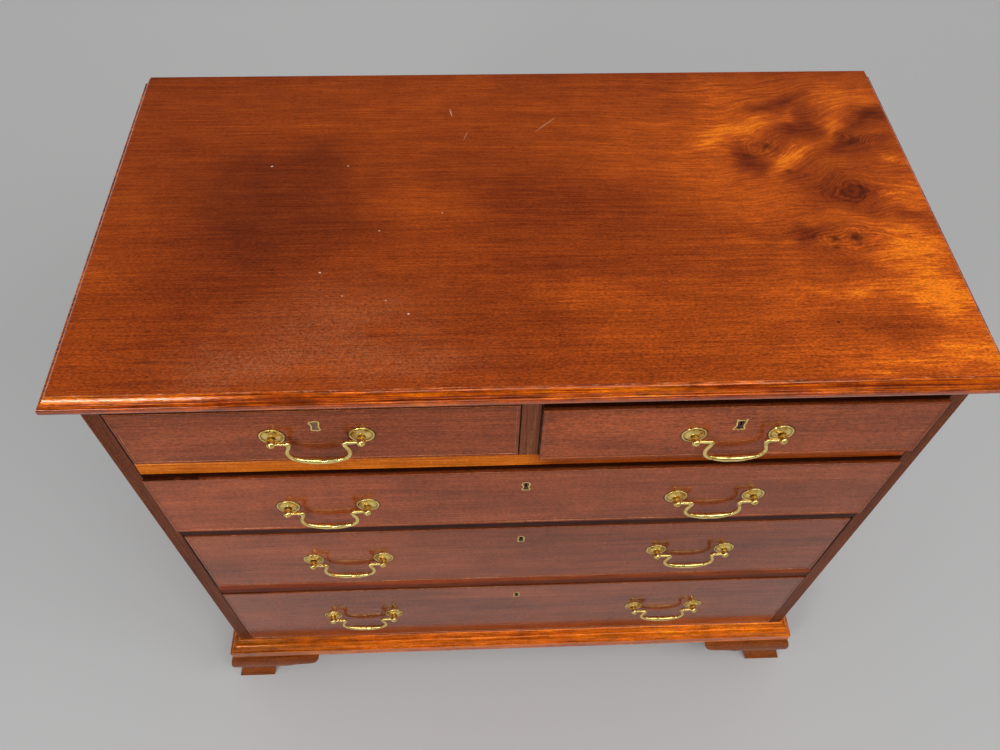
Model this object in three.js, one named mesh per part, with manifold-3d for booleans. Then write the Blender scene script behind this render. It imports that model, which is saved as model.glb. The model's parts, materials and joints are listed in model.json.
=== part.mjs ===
// A mahogany bachelor's chest: two short drawers over three long ones that grow taller
// downwards, a moulded top, a mitred base moulding and four ogee bracket feet.
// Millimetres, +Z up. The front looks along -Y. x = 0 is the middle of the width,
// y = 0 the middle of the depth over the top's moulding, and z = 0 the floor.

import * as THREE from 'three';
import { mergeVertices } from 'three/addons/utils/BufferGeometryUtils.js';
import Module from 'manifold-3d';

const wasm = await Module();
wasm.setup();

// Clearances

const fit_gap = 0.2;          // round every glued joint that has sloping faces
const side_play = 0.75;       // each side of a drawer in its opening
const run_gap = 0.3;          // under a drawer's sides and behind them when pushed home
const front_lift = 1;         // drawer front above the rail under it
const top_play = 5.5;         // drawer front below the rail over it
const pin_play = 0.35;        // bail pin in its bore
const bolt_play = 0.4;        // lock bolt in its case
const overrun = 5;            // cutters past the face they open

// Top board

const top_width = 900;        // between the upper edges of the moulding
const top_depth = 478.7;      // from the front upper edge to the back edge
const top_thick = 19;
const top_edge_out = 10.6;    // moulding past the upper edge
const top_over_front = 14.5;  // upper edge past the front of the carcass
const top_over_back = 4;      // top past the back of the carcass
const top_over_side = 6.75;   // upper edge past each side of the carcass

// Moulding of the top as shares of its projection and of the thickness, from the upper
// edge down: a quirk, an ovolo, a step and a round nose.
const top_edge_shares = [
  [0, 0], [0.03, 0.06], [0.3, 0.1], [0.47, 0.21], [0.55, 0.42], [0.76, 0.44],
  [0.93, 0.48], [1, 0.57], [1, 0.78], [0.93, 0.92], [0.76, 1],
];

// Carcass

const side_thick = 19;
const back_thick = 10;
const board_thick = 19;       // bottom board
const dust_thick = 10;        // dustboards that the drawers run on
const rail_high = 22;
const rail_deep = 60;
const top_rail_high = 32;
const top_rail_deep = 30;
const stile_wide = 21;        // upright between the short drawers, and the wall behind it
const stile_deep = 22;
const housing_deep = 6;       // boards and rails let into the sides
const housing_set_back = 10;  // housings stop this far behind the front edge
const rebate_wide = 10;       // back let into the sides
const tongue_long = 6;        // dustboard into its rail
const tongue_thick = 4;
const tenon_long = 8;         // stile into the rails
const tenon_wide = 12;
const tenon_thick = 8;
const back_joint = 1.6;       // open joints between the boards of the back
const back_board_count = 5;

// Heights

const overall_high = 841;     // from the floor to the top
const rail_count = 3;

// Openings from the top down, as shares of the height that they have together. The fourth
// takes what is left.
const short_open_share = 0.17;
const second_open_share = 0.222;
const third_open_share = 0.2813;

// Base moulding and feet

const base_high = 36;
const base_out = 18;
const floor_lip = 1;          // bottom board above the moulding

// Moulding of the base as shares of its projection and height, from its upper inner edge:
// a small round, a step, a large round, a step and a fillet.
const base_edge_shares = [
  [0, 1], [0.14, 0.975], [0.24, 0.9], [0.27, 0.83], [0.42, 0.82], [0.6, 0.77],
  [0.74, 0.69], [0.82, 0.58], [0.86, 0.545], [1, 0.54], [1, 0],
];

const foot_high = 81;
const foot_out = 24.5;        // belly of the ogee past the carcass
const foot_in = 8;            // back of the facings inside the carcass face
const wing_long = 147;        // facing along the front or side, from the corner
const back_bracket_thick = 19;
const block_wide = 46;        // glue block in the corner of a foot

// Ogee of the feet as shares of the belly's projection and of the height, from the top
// down: shoulder, belly, ankle and toe.
const ogee_shares = [
  [0.62, 1], [0.8, 0.96], [0.92, 0.87], [0.99, 0.75], [1, 0.64], [0.94, 0.53],
  [0.82, 0.43], [0.71, 0.35], [0.68, 0.27], [0.74, 0.18], [0.87, 0.09], [0.967, 0],
];

// Outline of a facing as shares of its length and height, from the toe's inner end to the
// wing's tip: the inside of the foot, a cusp, and the scroll of the wing.
const wing_shares = [
  [0.4, 0], [0.425, 0.12], [0.435, 0.26], [0.47, 0.38], [0.53, 0.45], [0.6, 0.47],
  [0.6, 0.53], [0.66, 0.62], [0.75, 0.67], [0.84, 0.68], [0.91, 0.71], [0.955, 0.78],
  [0.985, 0.88], [1, 1],
];

// Drawers

const front_thick = 22;
const bead_wide = 3.4;        // cockbead round each front
const bead_out = 1;           // cockbead past the face
const bead_sink = 2;          // cockbead below the face, where it is one with the front
const lap = 6;                // wood left in front of the half-blind dovetails
const drawer_side = 9;
const drawer_back = 9;
const side_drop = 3;          // drawer sides below the top of the front
const back_drop = 6;          // drawer back below the top of the sides
const bottom_thick = 6.5;
const bottom_lift = 10;       // underside of the bottom above the drawer's lower edge
const groove_deep = 4;
const pin_narrow = 3;         // dovetail pin at its thin edge
const half_pin = 4;           // added to the half pins at the ends of a row
const tail_slope_share = 1 / 7;

// Cockbead section as shares of its width and projection: inward, and out of the face.
const bead_shares = [
  [0, 0.4], [0.12, 0.72], [0.3, 0.94], [0.5, 1], [0.7, 0.94], [0.88, 0.72], [1, 0.4],
];

// How far each closed drawer stands proud of its place, as old drawers do. The third is home.
const short_left_proud = 0.8;
const short_right_proud = 7.8;
const second_proud = 6.1;
const fourth_proud = 1.1;

// Bail handles

const post_spacing = 92.4;    // between the posts of a handle
const handle_out = 229;       // long drawers: handle from the middle of the chest
const post_reach = 9.4;       // pin axis in front of the drawer's face
const short_left_post_high = 50.5; // pin axis above the opening's floor, drawer by drawer
const short_right_post_high = 46;
const second_post_high = 59.8;
const third_post_high = 85.3;
const fourth_post_high = 97;
const rose_radius = 13.5;
const rose_rim = 1;
const rose_dome = 2.8;
const rose_sink = 1;          // back of the rose, let into the wood
const neck_radius = 2.6;
const collar_radius = 3.8;
const head_radius = 4.8;
const head_side_share = 0.86; // head before and behind its widest, to its radius
const nut_size = 11;
const nut_thick = 3;
const pin_radius = 1.6;
const pin_inset = 0.6;        // pin stops short of the post's middle
const bail_drop = 36;         // pin axis to the middle of the grip
const bail_radius = 3.5;      // grip at its thickest

// The handles were set by eye: each one's shift to the right, as a share of the post spacing.
const handle_shift_shares = {
  short_left: [-0.04], short_right: [0.01], second: [-0.02, -0.035], third: [0, 0.02],
  fourth: [-0.04, 0.01],
};

// Half the bail from its pin to the middle of the grip, as shares of half the post
// spacing and of the drop.
const bail_path_shares = [
  [0.8, 0], [0.66, 0], [0.628, -0.04], [0.625, -0.12], [0.65, -0.25], [0.69, -0.4],
  [0.7, -0.55], [0.67, -0.71], [0.59, -0.84], [0.46, -0.92], [0.3, -0.965],
  [0.14, -0.99], [0, -1],
];

// Radius of the bail at the same points, as shares of the grip's radius.
const bail_radius_shares = [
  0.46, 0.5, 0.7, 0.58, 0.49, 0.48, 0.49, 0.52, 0.5, 0.53, 0.76, 0.97, 1,
];

// Locks

const lock_wide = 60;
const lock_high = 42;
const lock_deep = 11;
const lock_corner = 9;        // rounding of its lower corners
const bolt_wide = 20;
const bolt_high = 24;
const bolt_thick = 5;
const bolt_travel = 11;
const key_drop = 30;          // keyhole below the top of the front
const key_radius = 2.7;
const key_slot_wide = 2.6;
const key_slot_long = 7;
const mortise_spare = 1.2;    // round and over the bolt in the rail above it

// Facet counts

const post_sides = 12;
const bail_sides = 8;
const key_sides = 10;

// Finishes

const mahogany_top = { color: 0x8f4a22, roughness: 0.32, metalness: 0 };
const mahogany = { color: 0x7e4a33, roughness: 0.38, metalness: 0 };
const mahogany_bright = { color: 0xa85a22, roughness: 0.35, metalness: 0 };
const oak = { color: 0x9c7a4e, roughness: 0.7, metalness: 0 };
const pine = { color: 0xa98a5c, roughness: 0.8, metalness: 0 };
const brass = { color: 0xc9a14e, roughness: 0.25, metalness: 1 };
const steel = { color: 0x6f6a62, roughness: 0.45, metalness: 1 };

// Places worked out from the sizes

const overall_depth = top_depth + top_edge_out;
const top_back_y = overall_depth / 2;
const top_front_y = top_back_y - top_depth;
const front_y = top_front_y + top_over_front;
const back_y = top_back_y - top_over_back;
const inner_back_y = back_y - back_thick;
const inner_depth = inner_back_y - front_y;
const half_carcass = top_width / 2 - top_over_side;
const half_inner = half_carcass - side_thick;
const half_stile = stile_wide / 2;
const base_top_z = foot_high + base_high;
const floor_z = base_top_z + floor_lip;
const boards_high = floor_z + rail_count * rail_high + top_rail_high + top_thick;
const openings_high = overall_high - boards_high;
const short_open = openings_high * short_open_share;
const second_open = openings_high * second_open_share;
const third_open = openings_high * third_open_share;
const fourth_open = openings_high - short_open - second_open - third_open;
const rail_3_z = floor_z + fourth_open;
const third_z = rail_3_z + rail_high;
const rail_2_z = third_z + third_open;
const second_z = rail_2_z + rail_high;
const rail_1_z = second_z + second_open;
const short_z = rail_1_z + rail_high;
const top_rail_z = short_z + short_open;
const sides_top_z = top_rail_z + top_rail_high;
const top_z = sides_top_z + top_thick;

// The drawers

const drawers = [
  {
    name: 'short_left', left: -half_inner, right: -half_stile, floor: short_z,
    open: short_open, proud: short_left_proud, post_high: short_left_post_high,
    tails: 3, lock: false,
  },
  {
    name: 'short_right', left: half_stile, right: half_inner, floor: short_z,
    open: short_open, proud: short_right_proud, post_high: short_right_post_high,
    tails: 3, lock: true,
  },
  {
    name: 'second', left: -half_inner, right: half_inner, floor: second_z,
    open: second_open, proud: second_proud, post_high: second_post_high,
    tails: 4, lock: true,
  },
  {
    name: 'third', left: -half_inner, right: half_inner, floor: third_z,
    open: third_open, proud: 0, post_high: third_post_high,
    tails: 5, lock: true,
  },
  {
    name: 'fourth', left: -half_inner, right: half_inner, floor: floor_z,
    open: fourth_open, proud: fourth_proud, post_high: fourth_post_high,
    tails: 6, lock: true,
  },
];

// Solids and meshes

function solid(geometry) {
  const plain = geometry.index ? geometry.toNonIndexed() : geometry.clone();
  plain.deleteAttribute('normal');
  plain.deleteAttribute('uv');
  const merged = mergeVertices(plain);
  return new wasm.Manifold(new wasm.Mesh({
    numProp: 3,
    vertProperties: new Float32Array(merged.attributes.position.array),
    triVerts: new Uint32Array(merged.index.array),
  }));
}

function geometry_of(body) {
  const mesh = body.getMesh();
  const geometry = new THREE.BufferGeometry();
  geometry.setAttribute('position', new THREE.BufferAttribute(mesh.vertProperties, mesh.numProp));
  geometry.setIndex(new THREE.BufferAttribute(mesh.triVerts, 1));
  const faceted = geometry.toNonIndexed();
  faceted.computeVertexNormals();
  return faceted;
}

function piece(name, shape, finish) {
  const geometry = shape.isBufferGeometry ? shape : geometry_of(shape);
  const mesh = new THREE.Mesh(geometry, new THREE.MeshStandardMaterial(finish));
  mesh.name = name;
  return mesh;
}

function block(x0, x1, y0, y1, z0, z1) {
  const box = new THREE.BoxGeometry(x1 - x0, y1 - y0, z1 - z0);
  return solid(box.translate((x0 + x1) / 2, (y0 + y1) / 2, (z0 + z1) / 2));
}

function union(bodies) {
  return bodies.reduce((whole, body) => whole.add(body));
}

// A straight prism. Its outline is given in the two other axes, in the order x, y, z.
function prism(axis, outline, from, to) {
  const shape = new THREE.Shape(outline.map(([u, v]) => new THREE.Vector2(u, v)));
  const geometry = new THREE.ExtrudeGeometry(shape, { depth: to - from, bevelEnabled: false });
  const turn = new THREE.Matrix4();
  const x = new THREE.Vector3(1, 0, 0);
  const y = new THREE.Vector3(0, 1, 0);
  const z = new THREE.Vector3(0, 0, 1);
  if (axis === 'x') turn.makeBasis(y, z, x).setPosition(from, 0, 0);
  if (axis === 'y') turn.makeBasis(x, z, y.negate()).setPosition(0, to, 0);
  if (axis === 'z') turn.makeBasis(x, y, z).setPosition(0, 0, from);
  return solid(geometry.applyMatrix4(turn));
}

// Points of a moulding in [out, z], from shares of its projection and height.
function moulding(shares, out, z0, high) {
  return shares.map(([o, h]) => [o * out, z0 + h * high]);
}

// Top board: the section across the front, cut to the section across the two ends.

function top_board() {
  const edge = top_edge_shares.map(([o, d]) => [o * top_edge_out, top_z - d * top_thick]);
  const across = edge.map(([out, z]) => [top_front_y - out, z]);
  const front = prism('x', [[top_back_y, top_z], ...across, [top_back_y, sides_top_z]],
    -top_width, top_width);
  const half = top_width / 2;
  const left = edge.map(([out, z]) => [-half - out, z]);
  const right = edge.map(([out, z]) => [half + out, z]).reverse();
  const ends = prism('y', [...left, ...right], -top_depth, top_depth);
  return front.intersect(ends);
}

// Base moulding: the same way, with the carcass taken out of it, so it is a mitred U.

function base_moulding() {
  const edge = moulding(base_edge_shares, base_out, foot_high, base_high);
  const across = edge.map(([out, z]) => [front_y - out, z]);
  const front = prism('x', [[back_y, base_top_z], ...across, [back_y, foot_high]],
    -top_width, top_width);
  const left = edge.map(([out, z]) => [-half_carcass - out, z]);
  const right = edge.map(([out, z]) => [half_carcass + out, z]).reverse();
  const ends = prism('y', [...left, ...right], -top_depth, top_depth);
  const carcass = block(-half_carcass, half_carcass, front_y, back_y + overrun,
    foot_high - overrun, base_top_z + overrun);
  return front.intersect(ends).subtract(carcass);
}

// Feet. A front foot is two facings with an ogee section, mitred at the corner, and a glue
// block. A back foot has one such facing on the side and a plain bracket across the back.

function foot(turned_x, at_back) {
  const corner_y = at_back ? back_y : front_y;
  const outward_y = at_back ? 1 : -1;
  const ogee = moulding(ogee_shares, foot_out, 0, foot_high);
  const side_section = ogee.map(([out, z]) => [turned_x * (half_carcass + out), z]);
  const deep_x = turned_x * (half_carcass - wing_long);
  const side_limit = prism('y', [...side_section, [deep_x, 0], [deep_x, foot_high]],
    -top_depth, top_depth);
  const front_section = ogee.map(([out, z]) => [corner_y + outward_y * out, z]);
  const deep_y = corner_y - outward_y * wing_long;
  const front_limit = prism('x', [...front_section, [deep_y, 0], [deep_y, foot_high]],
    -top_width, top_width);

  const corner_x = turned_x * (half_carcass + foot_out);
  const wing = wing_shares.map(([l, h]) => [l * wing_long, h * foot_high]);
  const closing = [[0, foot_high], [0, 0]];
  const along_x = [...wing, ...closing].map(([l, z]) => [corner_x - turned_x * l, z]);
  const start_y = at_back ? back_y : corner_y + outward_y * foot_out;
  const along_y = [...wing, ...closing].map(([l, z]) => [start_y - outward_y * l, z]);

  const thick_in = at_back ? back_bracket_thick : foot_in;
  const thick_out = at_back ? 0 : foot_out + overrun;
  const y_pair = [corner_y + outward_y * thick_out, corner_y - outward_y * thick_in];
  const facing_x = prism('y', along_x, Math.min(...y_pair), Math.max(...y_pair));
  const x_pair = [turned_x * (half_carcass + foot_out + overrun),
    turned_x * (half_carcass - foot_in)];
  const facing_y = prism('x', along_y, Math.min(...x_pair), Math.max(...x_pair));

  const whole = facing_x.add(facing_y).intersect(side_limit);
  const facings = at_back ? whole : whole.intersect(front_limit);

  const block_y = [corner_y, corner_y - outward_y * block_wide];
  const glue_block = (reach, z1) => {
    const x = [turned_x * reach, turned_x * (half_carcass - block_wide)];
    return block(Math.min(...x), Math.max(...x), Math.min(...block_y), Math.max(...block_y), 0, z1);
  };
  return facings.add(glue_block(half_carcass, foot_high))
    .add(glue_block(half_inner, floor_z - board_thick));
}

// Sides, with stopped housings for the rails, dustboards and bottom, and the back's rebate.

const housings = [rail_1_z, rail_2_z, rail_3_z];

function side(turned_x) {
  const pair = (a, b) => [Math.min(turned_x * a, turned_x * b), Math.max(turned_x * a, turned_x * b)];
  const [x0, x1] = pair(half_inner, half_carcass);
  const [h0, h1] = pair(half_inner - overrun, half_inner + housing_deep);
  const [r0, r1] = pair(half_inner - overrun, half_inner + rebate_wide);
  let board = block(x0, x1, front_y, back_y, foot_high, sides_top_z);
  const rail_back_y = front_y + rail_deep;
  for (const z of housings) {
    const dust_z = z + rail_high - dust_thick;
    board = board.subtract(block(h0, h1, front_y + housing_set_back, rail_back_y, z, z + rail_high));
    board = board.subtract(block(h0, h1, rail_back_y - overrun, back_y, dust_z, z + rail_high));
  }
  const under_z = floor_z - board_thick;
  board = board.subtract(block(h0, h1, front_y + housing_set_back, back_y, under_z, floor_z));
  board = board.subtract(block(h0, h1, front_y + housing_set_back,
    front_y + top_rail_deep, top_rail_z, sides_top_z + overrun));
  return board.subtract(block(r0, r1, inner_back_y, back_y + overrun, under_z, sides_top_z + overrun));
}

// A board or rail between the sides, full at the front edge and let into the housings.

function housed(y_end, z0, z1) {
  const tip = half_inner + housing_deep;
  const y_step = front_y + housing_set_back;
  return prism('z', [
    [-half_inner, front_y], [half_inner, front_y], [half_inner, y_step], [tip, y_step],
    [tip, y_end], [-tip, y_end], [-tip, y_step], [-half_inner, y_step],
  ], z0, z1);
}

// The hole in a rail's underside that takes the bolt of the lock below, long enough for
// the drawer's closed place and for where it stands.
function bolt_mortise(rail, drawer, rail_z) {
  const centre_x = (drawer.left + drawer.right) / 2;
  const bolt_y = front_y + bead_out + front_thick - lock_deep / 2;
  const half_x = bolt_wide / 2 + mortise_spare;
  const half_y = bolt_thick / 2 + mortise_spare;
  const deep = bolt_travel - top_play + mortise_spare;
  return rail.subtract(block(centre_x - half_x, centre_x + half_x,
    bolt_y - drawer.proud - half_y, bolt_y + half_y, rail_z - overrun, rail_z + deep));
}

function stile_mortise(rail, z0, z1) {
  const half_x = tenon_wide / 2 + fit_gap;
  const middle_y = front_y + stile_deep / 2;
  const half_y = tenon_thick / 2 + fit_gap;
  return rail.subtract(block(-half_x, half_x, middle_y - half_y, middle_y + half_y, z0, z1));
}

function rail(rail_z, drawer_below) {
  const back = front_y + rail_deep;
  const tongue_z = rail_z + rail_high - dust_thick / 2 - tongue_thick / 2;
  const body = housed(back, rail_z, rail_z + rail_high);
  const groove = block(-top_width, top_width, back - tongue_long - fit_gap,
    back + overrun, tongue_z - fit_gap, tongue_z + tongue_thick + fit_gap);
  return bolt_mortise(body.subtract(groove), drawer_below, rail_z);
}

function dustboard(rail_z) {
  const tip = half_inner + housing_deep;
  const y0 = front_y + rail_deep;
  const z1 = rail_z + rail_high;
  const z0 = z1 - dust_thick;
  const t0 = z1 - dust_thick / 2 - tongue_thick / 2;
  const t1 = t0 + tongue_thick;
  return prism('x', [
    [y0, z0], [inner_back_y, z0], [inner_back_y, z1], [y0, z1],
    [y0, t1], [y0 - tongue_long, t1], [y0 - tongue_long, t0], [y0, t0],
  ], -tip, tip);
}

function centre_stile() {
  const middle_y = front_y + stile_deep / 2;
  const tenon = block(-tenon_wide / 2, tenon_wide / 2, middle_y - tenon_thick / 2,
    middle_y + tenon_thick / 2, short_z - tenon_long, top_rail_z + tenon_long);
  return block(-half_stile, half_stile, front_y, front_y + stile_deep, short_z, top_rail_z).add(tenon);
}

// The wall behind the stile is notched round the top rail.
function centre_partition() {
  const y0 = front_y + stile_deep;
  const y1 = front_y + top_rail_deep;
  return prism('x', [
    [y0, short_z], [inner_back_y, short_z], [inner_back_y, sides_top_z],
    [y1, sides_top_z], [y1, top_rail_z], [y0, top_rail_z],
  ], -half_stile, half_stile);
}

// The back: upright boards, with a shallow joint showing between each two.
function back_panel() {
  const half = half_inner + rebate_wide;
  const wide = 2 * half / back_board_count;
  const notches = [];
  for (let i = 1; i < back_board_count; i += 1) {
    const x = half - i * wide;
    notches.push([x + back_joint / 2, back_y], [x, back_y - back_joint], [x - back_joint / 2, back_y]);
  }
  return prism('z', [
    [-half, inner_back_y], [half, inner_back_y], [half, back_y], ...notches, [-half, back_y],
  ], floor_z - board_thick, sides_top_z);
}

// Drawers. Each is modelled about the middle of its opening's floor, with y = 0 on the
// outer face of its front.

const drawer_deep = inner_depth - bead_out - run_gap;

function drawer_sizes(drawer) {
  const half = (drawer.right - drawer.left) / 2 - side_play;
  const top = drawer.open - top_play;
  const side_top = top - side_drop;
  return { half, top, side_top, back_top: side_top - back_drop, bottom_top: bottom_lift + bottom_thick };
}

// Dovetails between two heights. Each tail is [z at its middle, half its width at the
// shoulder, half its width at the tip].
function tails(z0, z1, count, long) {
  const pitch = (z1 - z0 - 2 * half_pin) / count;
  const tip = (pitch - pin_narrow) / 2;
  const rows = [];
  for (let i = 0; i < count; i += 1) {
    rows.push([z0 + half_pin + pitch * (i + 1 / 2), tip - long * tail_slope_share, tip]);
  }
  return rows;
}

function front_tails(drawer) {
  return tails(run_gap, drawer_sizes(drawer).side_top, drawer.tails, front_thick - lap);
}

function back_tails(drawer) {
  const size = drawer_sizes(drawer);
  return tails(size.bottom_top, size.back_top, drawer.tails, drawer_back);
}

// The sockets for a row of tails, cut through a drawer side's thickness.
function tail_sockets(rows, shoulder_y, tip_y, x0, x1) {
  const past = Math.sign(shoulder_y - tip_y);
  const slope = past * overrun * tail_slope_share;
  return union(rows.map(([z, root, tip]) => prism('x', [
    [shoulder_y + past * overrun, z - root + Math.abs(slope) - fit_gap],
    [shoulder_y + past * overrun, z + root - Math.abs(slope) + fit_gap],
    [tip_y - past * fit_gap, z + tip + fit_gap],
    [tip_y - past * fit_gap, z - tip - fit_gap],
  ], x0, x1)));
}

function drawer_side_board(drawer, turned_x) {
  const { half, side_top } = drawer_sizes(drawer);
  const back_shoulder = drawer_deep - drawer_back;
  const front_comb = front_tails(drawer).flatMap(([z, root, tip]) => [
    [front_thick, z - root], [lap, z - tip], [lap, z + tip], [front_thick, z + root],
  ]).reverse();
  const { bottom_top, back_top } = drawer_sizes(drawer);
  const back_comb = back_tails(drawer).flatMap(([z, root, tip]) => [
    [back_shoulder, z - root], [drawer_deep, z - tip], [drawer_deep, z + tip],
    [back_shoulder, z + root],
  ]);
  const outline = [
    [front_thick, run_gap], [drawer_deep, run_gap], [drawer_deep, bottom_top],
    [back_shoulder, bottom_top], ...back_comb, [back_shoulder, back_top],
    [drawer_deep, back_top], [drawer_deep, side_top], [front_thick, side_top], ...front_comb,
  ];
  const outer = turned_x * half;
  const inner = turned_x * (half - drawer_side);
  const board = prism('x', outline, Math.min(outer, inner), Math.max(outer, inner));
  const groove = [inner - turned_x * overrun, inner + turned_x * groove_deep];
  return board.subtract(block(Math.min(...groove), Math.max(...groove), 0, drawer_deep + overrun,
    bottom_lift - fit_gap, bottom_lift + bottom_thick + fit_gap));
}

function drawer_back_board(drawer) {
  const { half, back_top, bottom_top } = drawer_sizes(drawer);
  const shoulder = drawer_deep - drawer_back;
  const rows = back_tails(drawer);
  const sockets = [-1, 1].map((turned_x) => {
    const ends = [turned_x * (half - drawer_side), turned_x * (half + overrun)];
    return tail_sockets(rows, shoulder, drawer_deep, Math.min(...ends), Math.max(...ends));
  });
  return block(-half, half, shoulder, drawer_deep, bottom_top + fit_gap, back_top)
    .subtract(union(sockets));
}

function drawer_bottom_board(drawer) {
  const half = drawer_sizes(drawer).half - drawer_side + groove_deep - fit_gap;
  return block(-half, half, front_thick - groove_deep + fit_gap, drawer_deep,
    bottom_lift, bottom_lift + bottom_thick);
}

// A mitred frame: a closed section in [inward, y] carried round a rectangle in x and z.
function mitred_frame(half, z0, z1, section) {
  const corners = [];
  for (const [inward, y] of section) {
    corners.push([-half + inward, y, z0 + inward], [half - inward, y, z0 + inward]);
    corners.push([half - inward, y, z1 - inward], [-half + inward, y, z1 - inward]);
  }
  const faces = [];
  section.forEach((_, i) => {
    const a = 4 * i;
    const b = 4 * ((i + 1) % section.length);
    for (let k = 0; k < 4; k += 1) {
      const n = (k + 1) % 4;
      faces.push(a + k, a + n, b + k, a + n, b + n, b + k);
    }
  });
  const geometry = new THREE.BufferGeometry();
  geometry.setAttribute('position', new THREE.Float32BufferAttribute(corners.flat(), 3));
  geometry.setIndex(faces);
  return solid(geometry);
}

// A handle post in one with its rose, turned about Y, with the bore for the bail's pin.
function post(x, z, inward) {
  const head_back = post_reach - head_radius;
  const profile = [
    [0, -rose_sink], [rose_radius, -rose_sink], [rose_radius, rose_rim],
    [(rose_radius + collar_radius) / 2, (rose_rim + rose_dome) / 2 + rose_rim / 2],
    [collar_radius, rose_dome], [neck_radius, rose_dome + rose_rim], [neck_radius, head_back],
    [head_radius * head_side_share, post_reach - head_radius / 2], [head_radius, post_reach],
    [head_radius * head_side_share, post_reach + head_radius / 2], [0, post_reach + head_radius],
  ];
  const points = profile.map(([radius, out]) => new THREE.Vector2(radius, out));
  const turned = new THREE.LatheGeometry(points, post_sides);
  const outward = solid(turned.rotateX(Math.PI).translate(x, 0, z));
  const bore_end = x - inward * neck_radius;
  const bore_mouth = x + inward * (head_radius + overrun);
  const bore = new THREE.CylinderGeometry(pin_radius + pin_play, pin_radius + pin_play,
    Math.abs(bore_mouth - bore_end), bail_sides);
  bore.rotateZ(Math.PI / 2).translate((bore_mouth + bore_end) / 2, -post_reach, z);
  return outward.subtract(solid(bore));
}

function handle_places(drawer) {
  const long = drawer.left < 0 && drawer.right > 0;
  const even = long ? [-handle_out, handle_out] : [0];
  return even.map((x, i) => x + handle_shift_shares[drawer.name][i] * post_spacing);
}

function drawer_front(drawer) {
  const { half, top } = drawer_sizes(drawer);
  const section = [[0, bead_sink], ...bead_shares.map(([w, o]) => [w * bead_wide, -o * bead_out]),
    [bead_wide, bead_sink]];
  let body = block(-half, half, 0, front_thick, front_lift, top);
  body = body.add(mitred_frame(half, front_lift, top, section));
  const rows = front_tails(drawer);
  for (const turned_x of [-1, 1]) {
    const ends = [turned_x * (half - drawer_side - fit_gap), turned_x * (half + overrun)];
    body = body.subtract(tail_sockets(rows, front_thick, lap, Math.min(...ends), Math.max(...ends)));
  }
  const groove_half = half - drawer_side + groove_deep;
  body = body.subtract(block(-groove_half, groove_half, front_thick - groove_deep,
    front_thick + overrun, bottom_lift - fit_gap, bottom_lift + bottom_thick + fit_gap));
  for (const x of handle_places(drawer)) {
    for (const turned_x of [-1, 1]) {
      const post_x = x + turned_x * post_spacing / 2;
      body = body.add(post(post_x, drawer.post_high, -turned_x));
      body = body.add(block(post_x - nut_size / 2, post_x + nut_size / 2, front_thick - rose_sink,
        front_thick + nut_thick, drawer.post_high - nut_size / 2, drawer.post_high + nut_size / 2));
    }
  }
  return drawer.lock ? body.subtract(lock_recess(drawer)) : body;
}

// Locks. The case is let into the back of the front from its top edge, the bolt rises from
// it, and the keyhole runs through the front into it.

function lock_outline(top, gap) {
  const half = lock_wide / 2 + gap;
  const low = top - lock_high - gap;
  return [
    [-half, top], [-half, low + lock_corner], [-half + lock_corner, low],
    [half - lock_corner, low], [half, low + lock_corner], [half, top],
  ];
}

function keyhole(top, from, to) {
  const z = top - key_drop;
  const eye = new THREE.CylinderGeometry(key_radius, key_radius, to - from, key_sides);
  eye.translate(0, (from + to) / 2, z);
  return solid(eye).add(block(-key_slot_wide / 2, key_slot_wide / 2, from, to, z - key_slot_long, z));
}

function lock_recess(drawer) {
  const { top } = drawer_sizes(drawer);
  const outline = lock_outline(top, fit_gap);
  outline[0][1] = top + overrun;
  outline[outline.length - 1][1] = top + overrun;
  return prism('y', outline, front_thick - lock_deep - fit_gap, front_thick + overrun)
    .add(keyhole(top, -overrun, front_thick - lock_deep / 2));
}

function lock_case(drawer) {
  const { top } = drawer_sizes(drawer);
  const middle_y = front_thick - lock_deep / 2;
  const half_x = bolt_wide / 2 + bolt_play;
  const half_y = bolt_thick / 2 + bolt_play;
  return prism('y', lock_outline(top, 0), front_thick - lock_deep, front_thick)
    .subtract(block(-half_x, half_x, middle_y - half_y, middle_y + half_y,
      top - bolt_high - bolt_play, top + overrun))
    .subtract(keyhole(top, 0, middle_y));
}

function lock_bolt() {
  return block(-bolt_wide / 2, bolt_wide / 2, -bolt_thick / 2, bolt_thick / 2, -bolt_high, 0);
}

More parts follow.
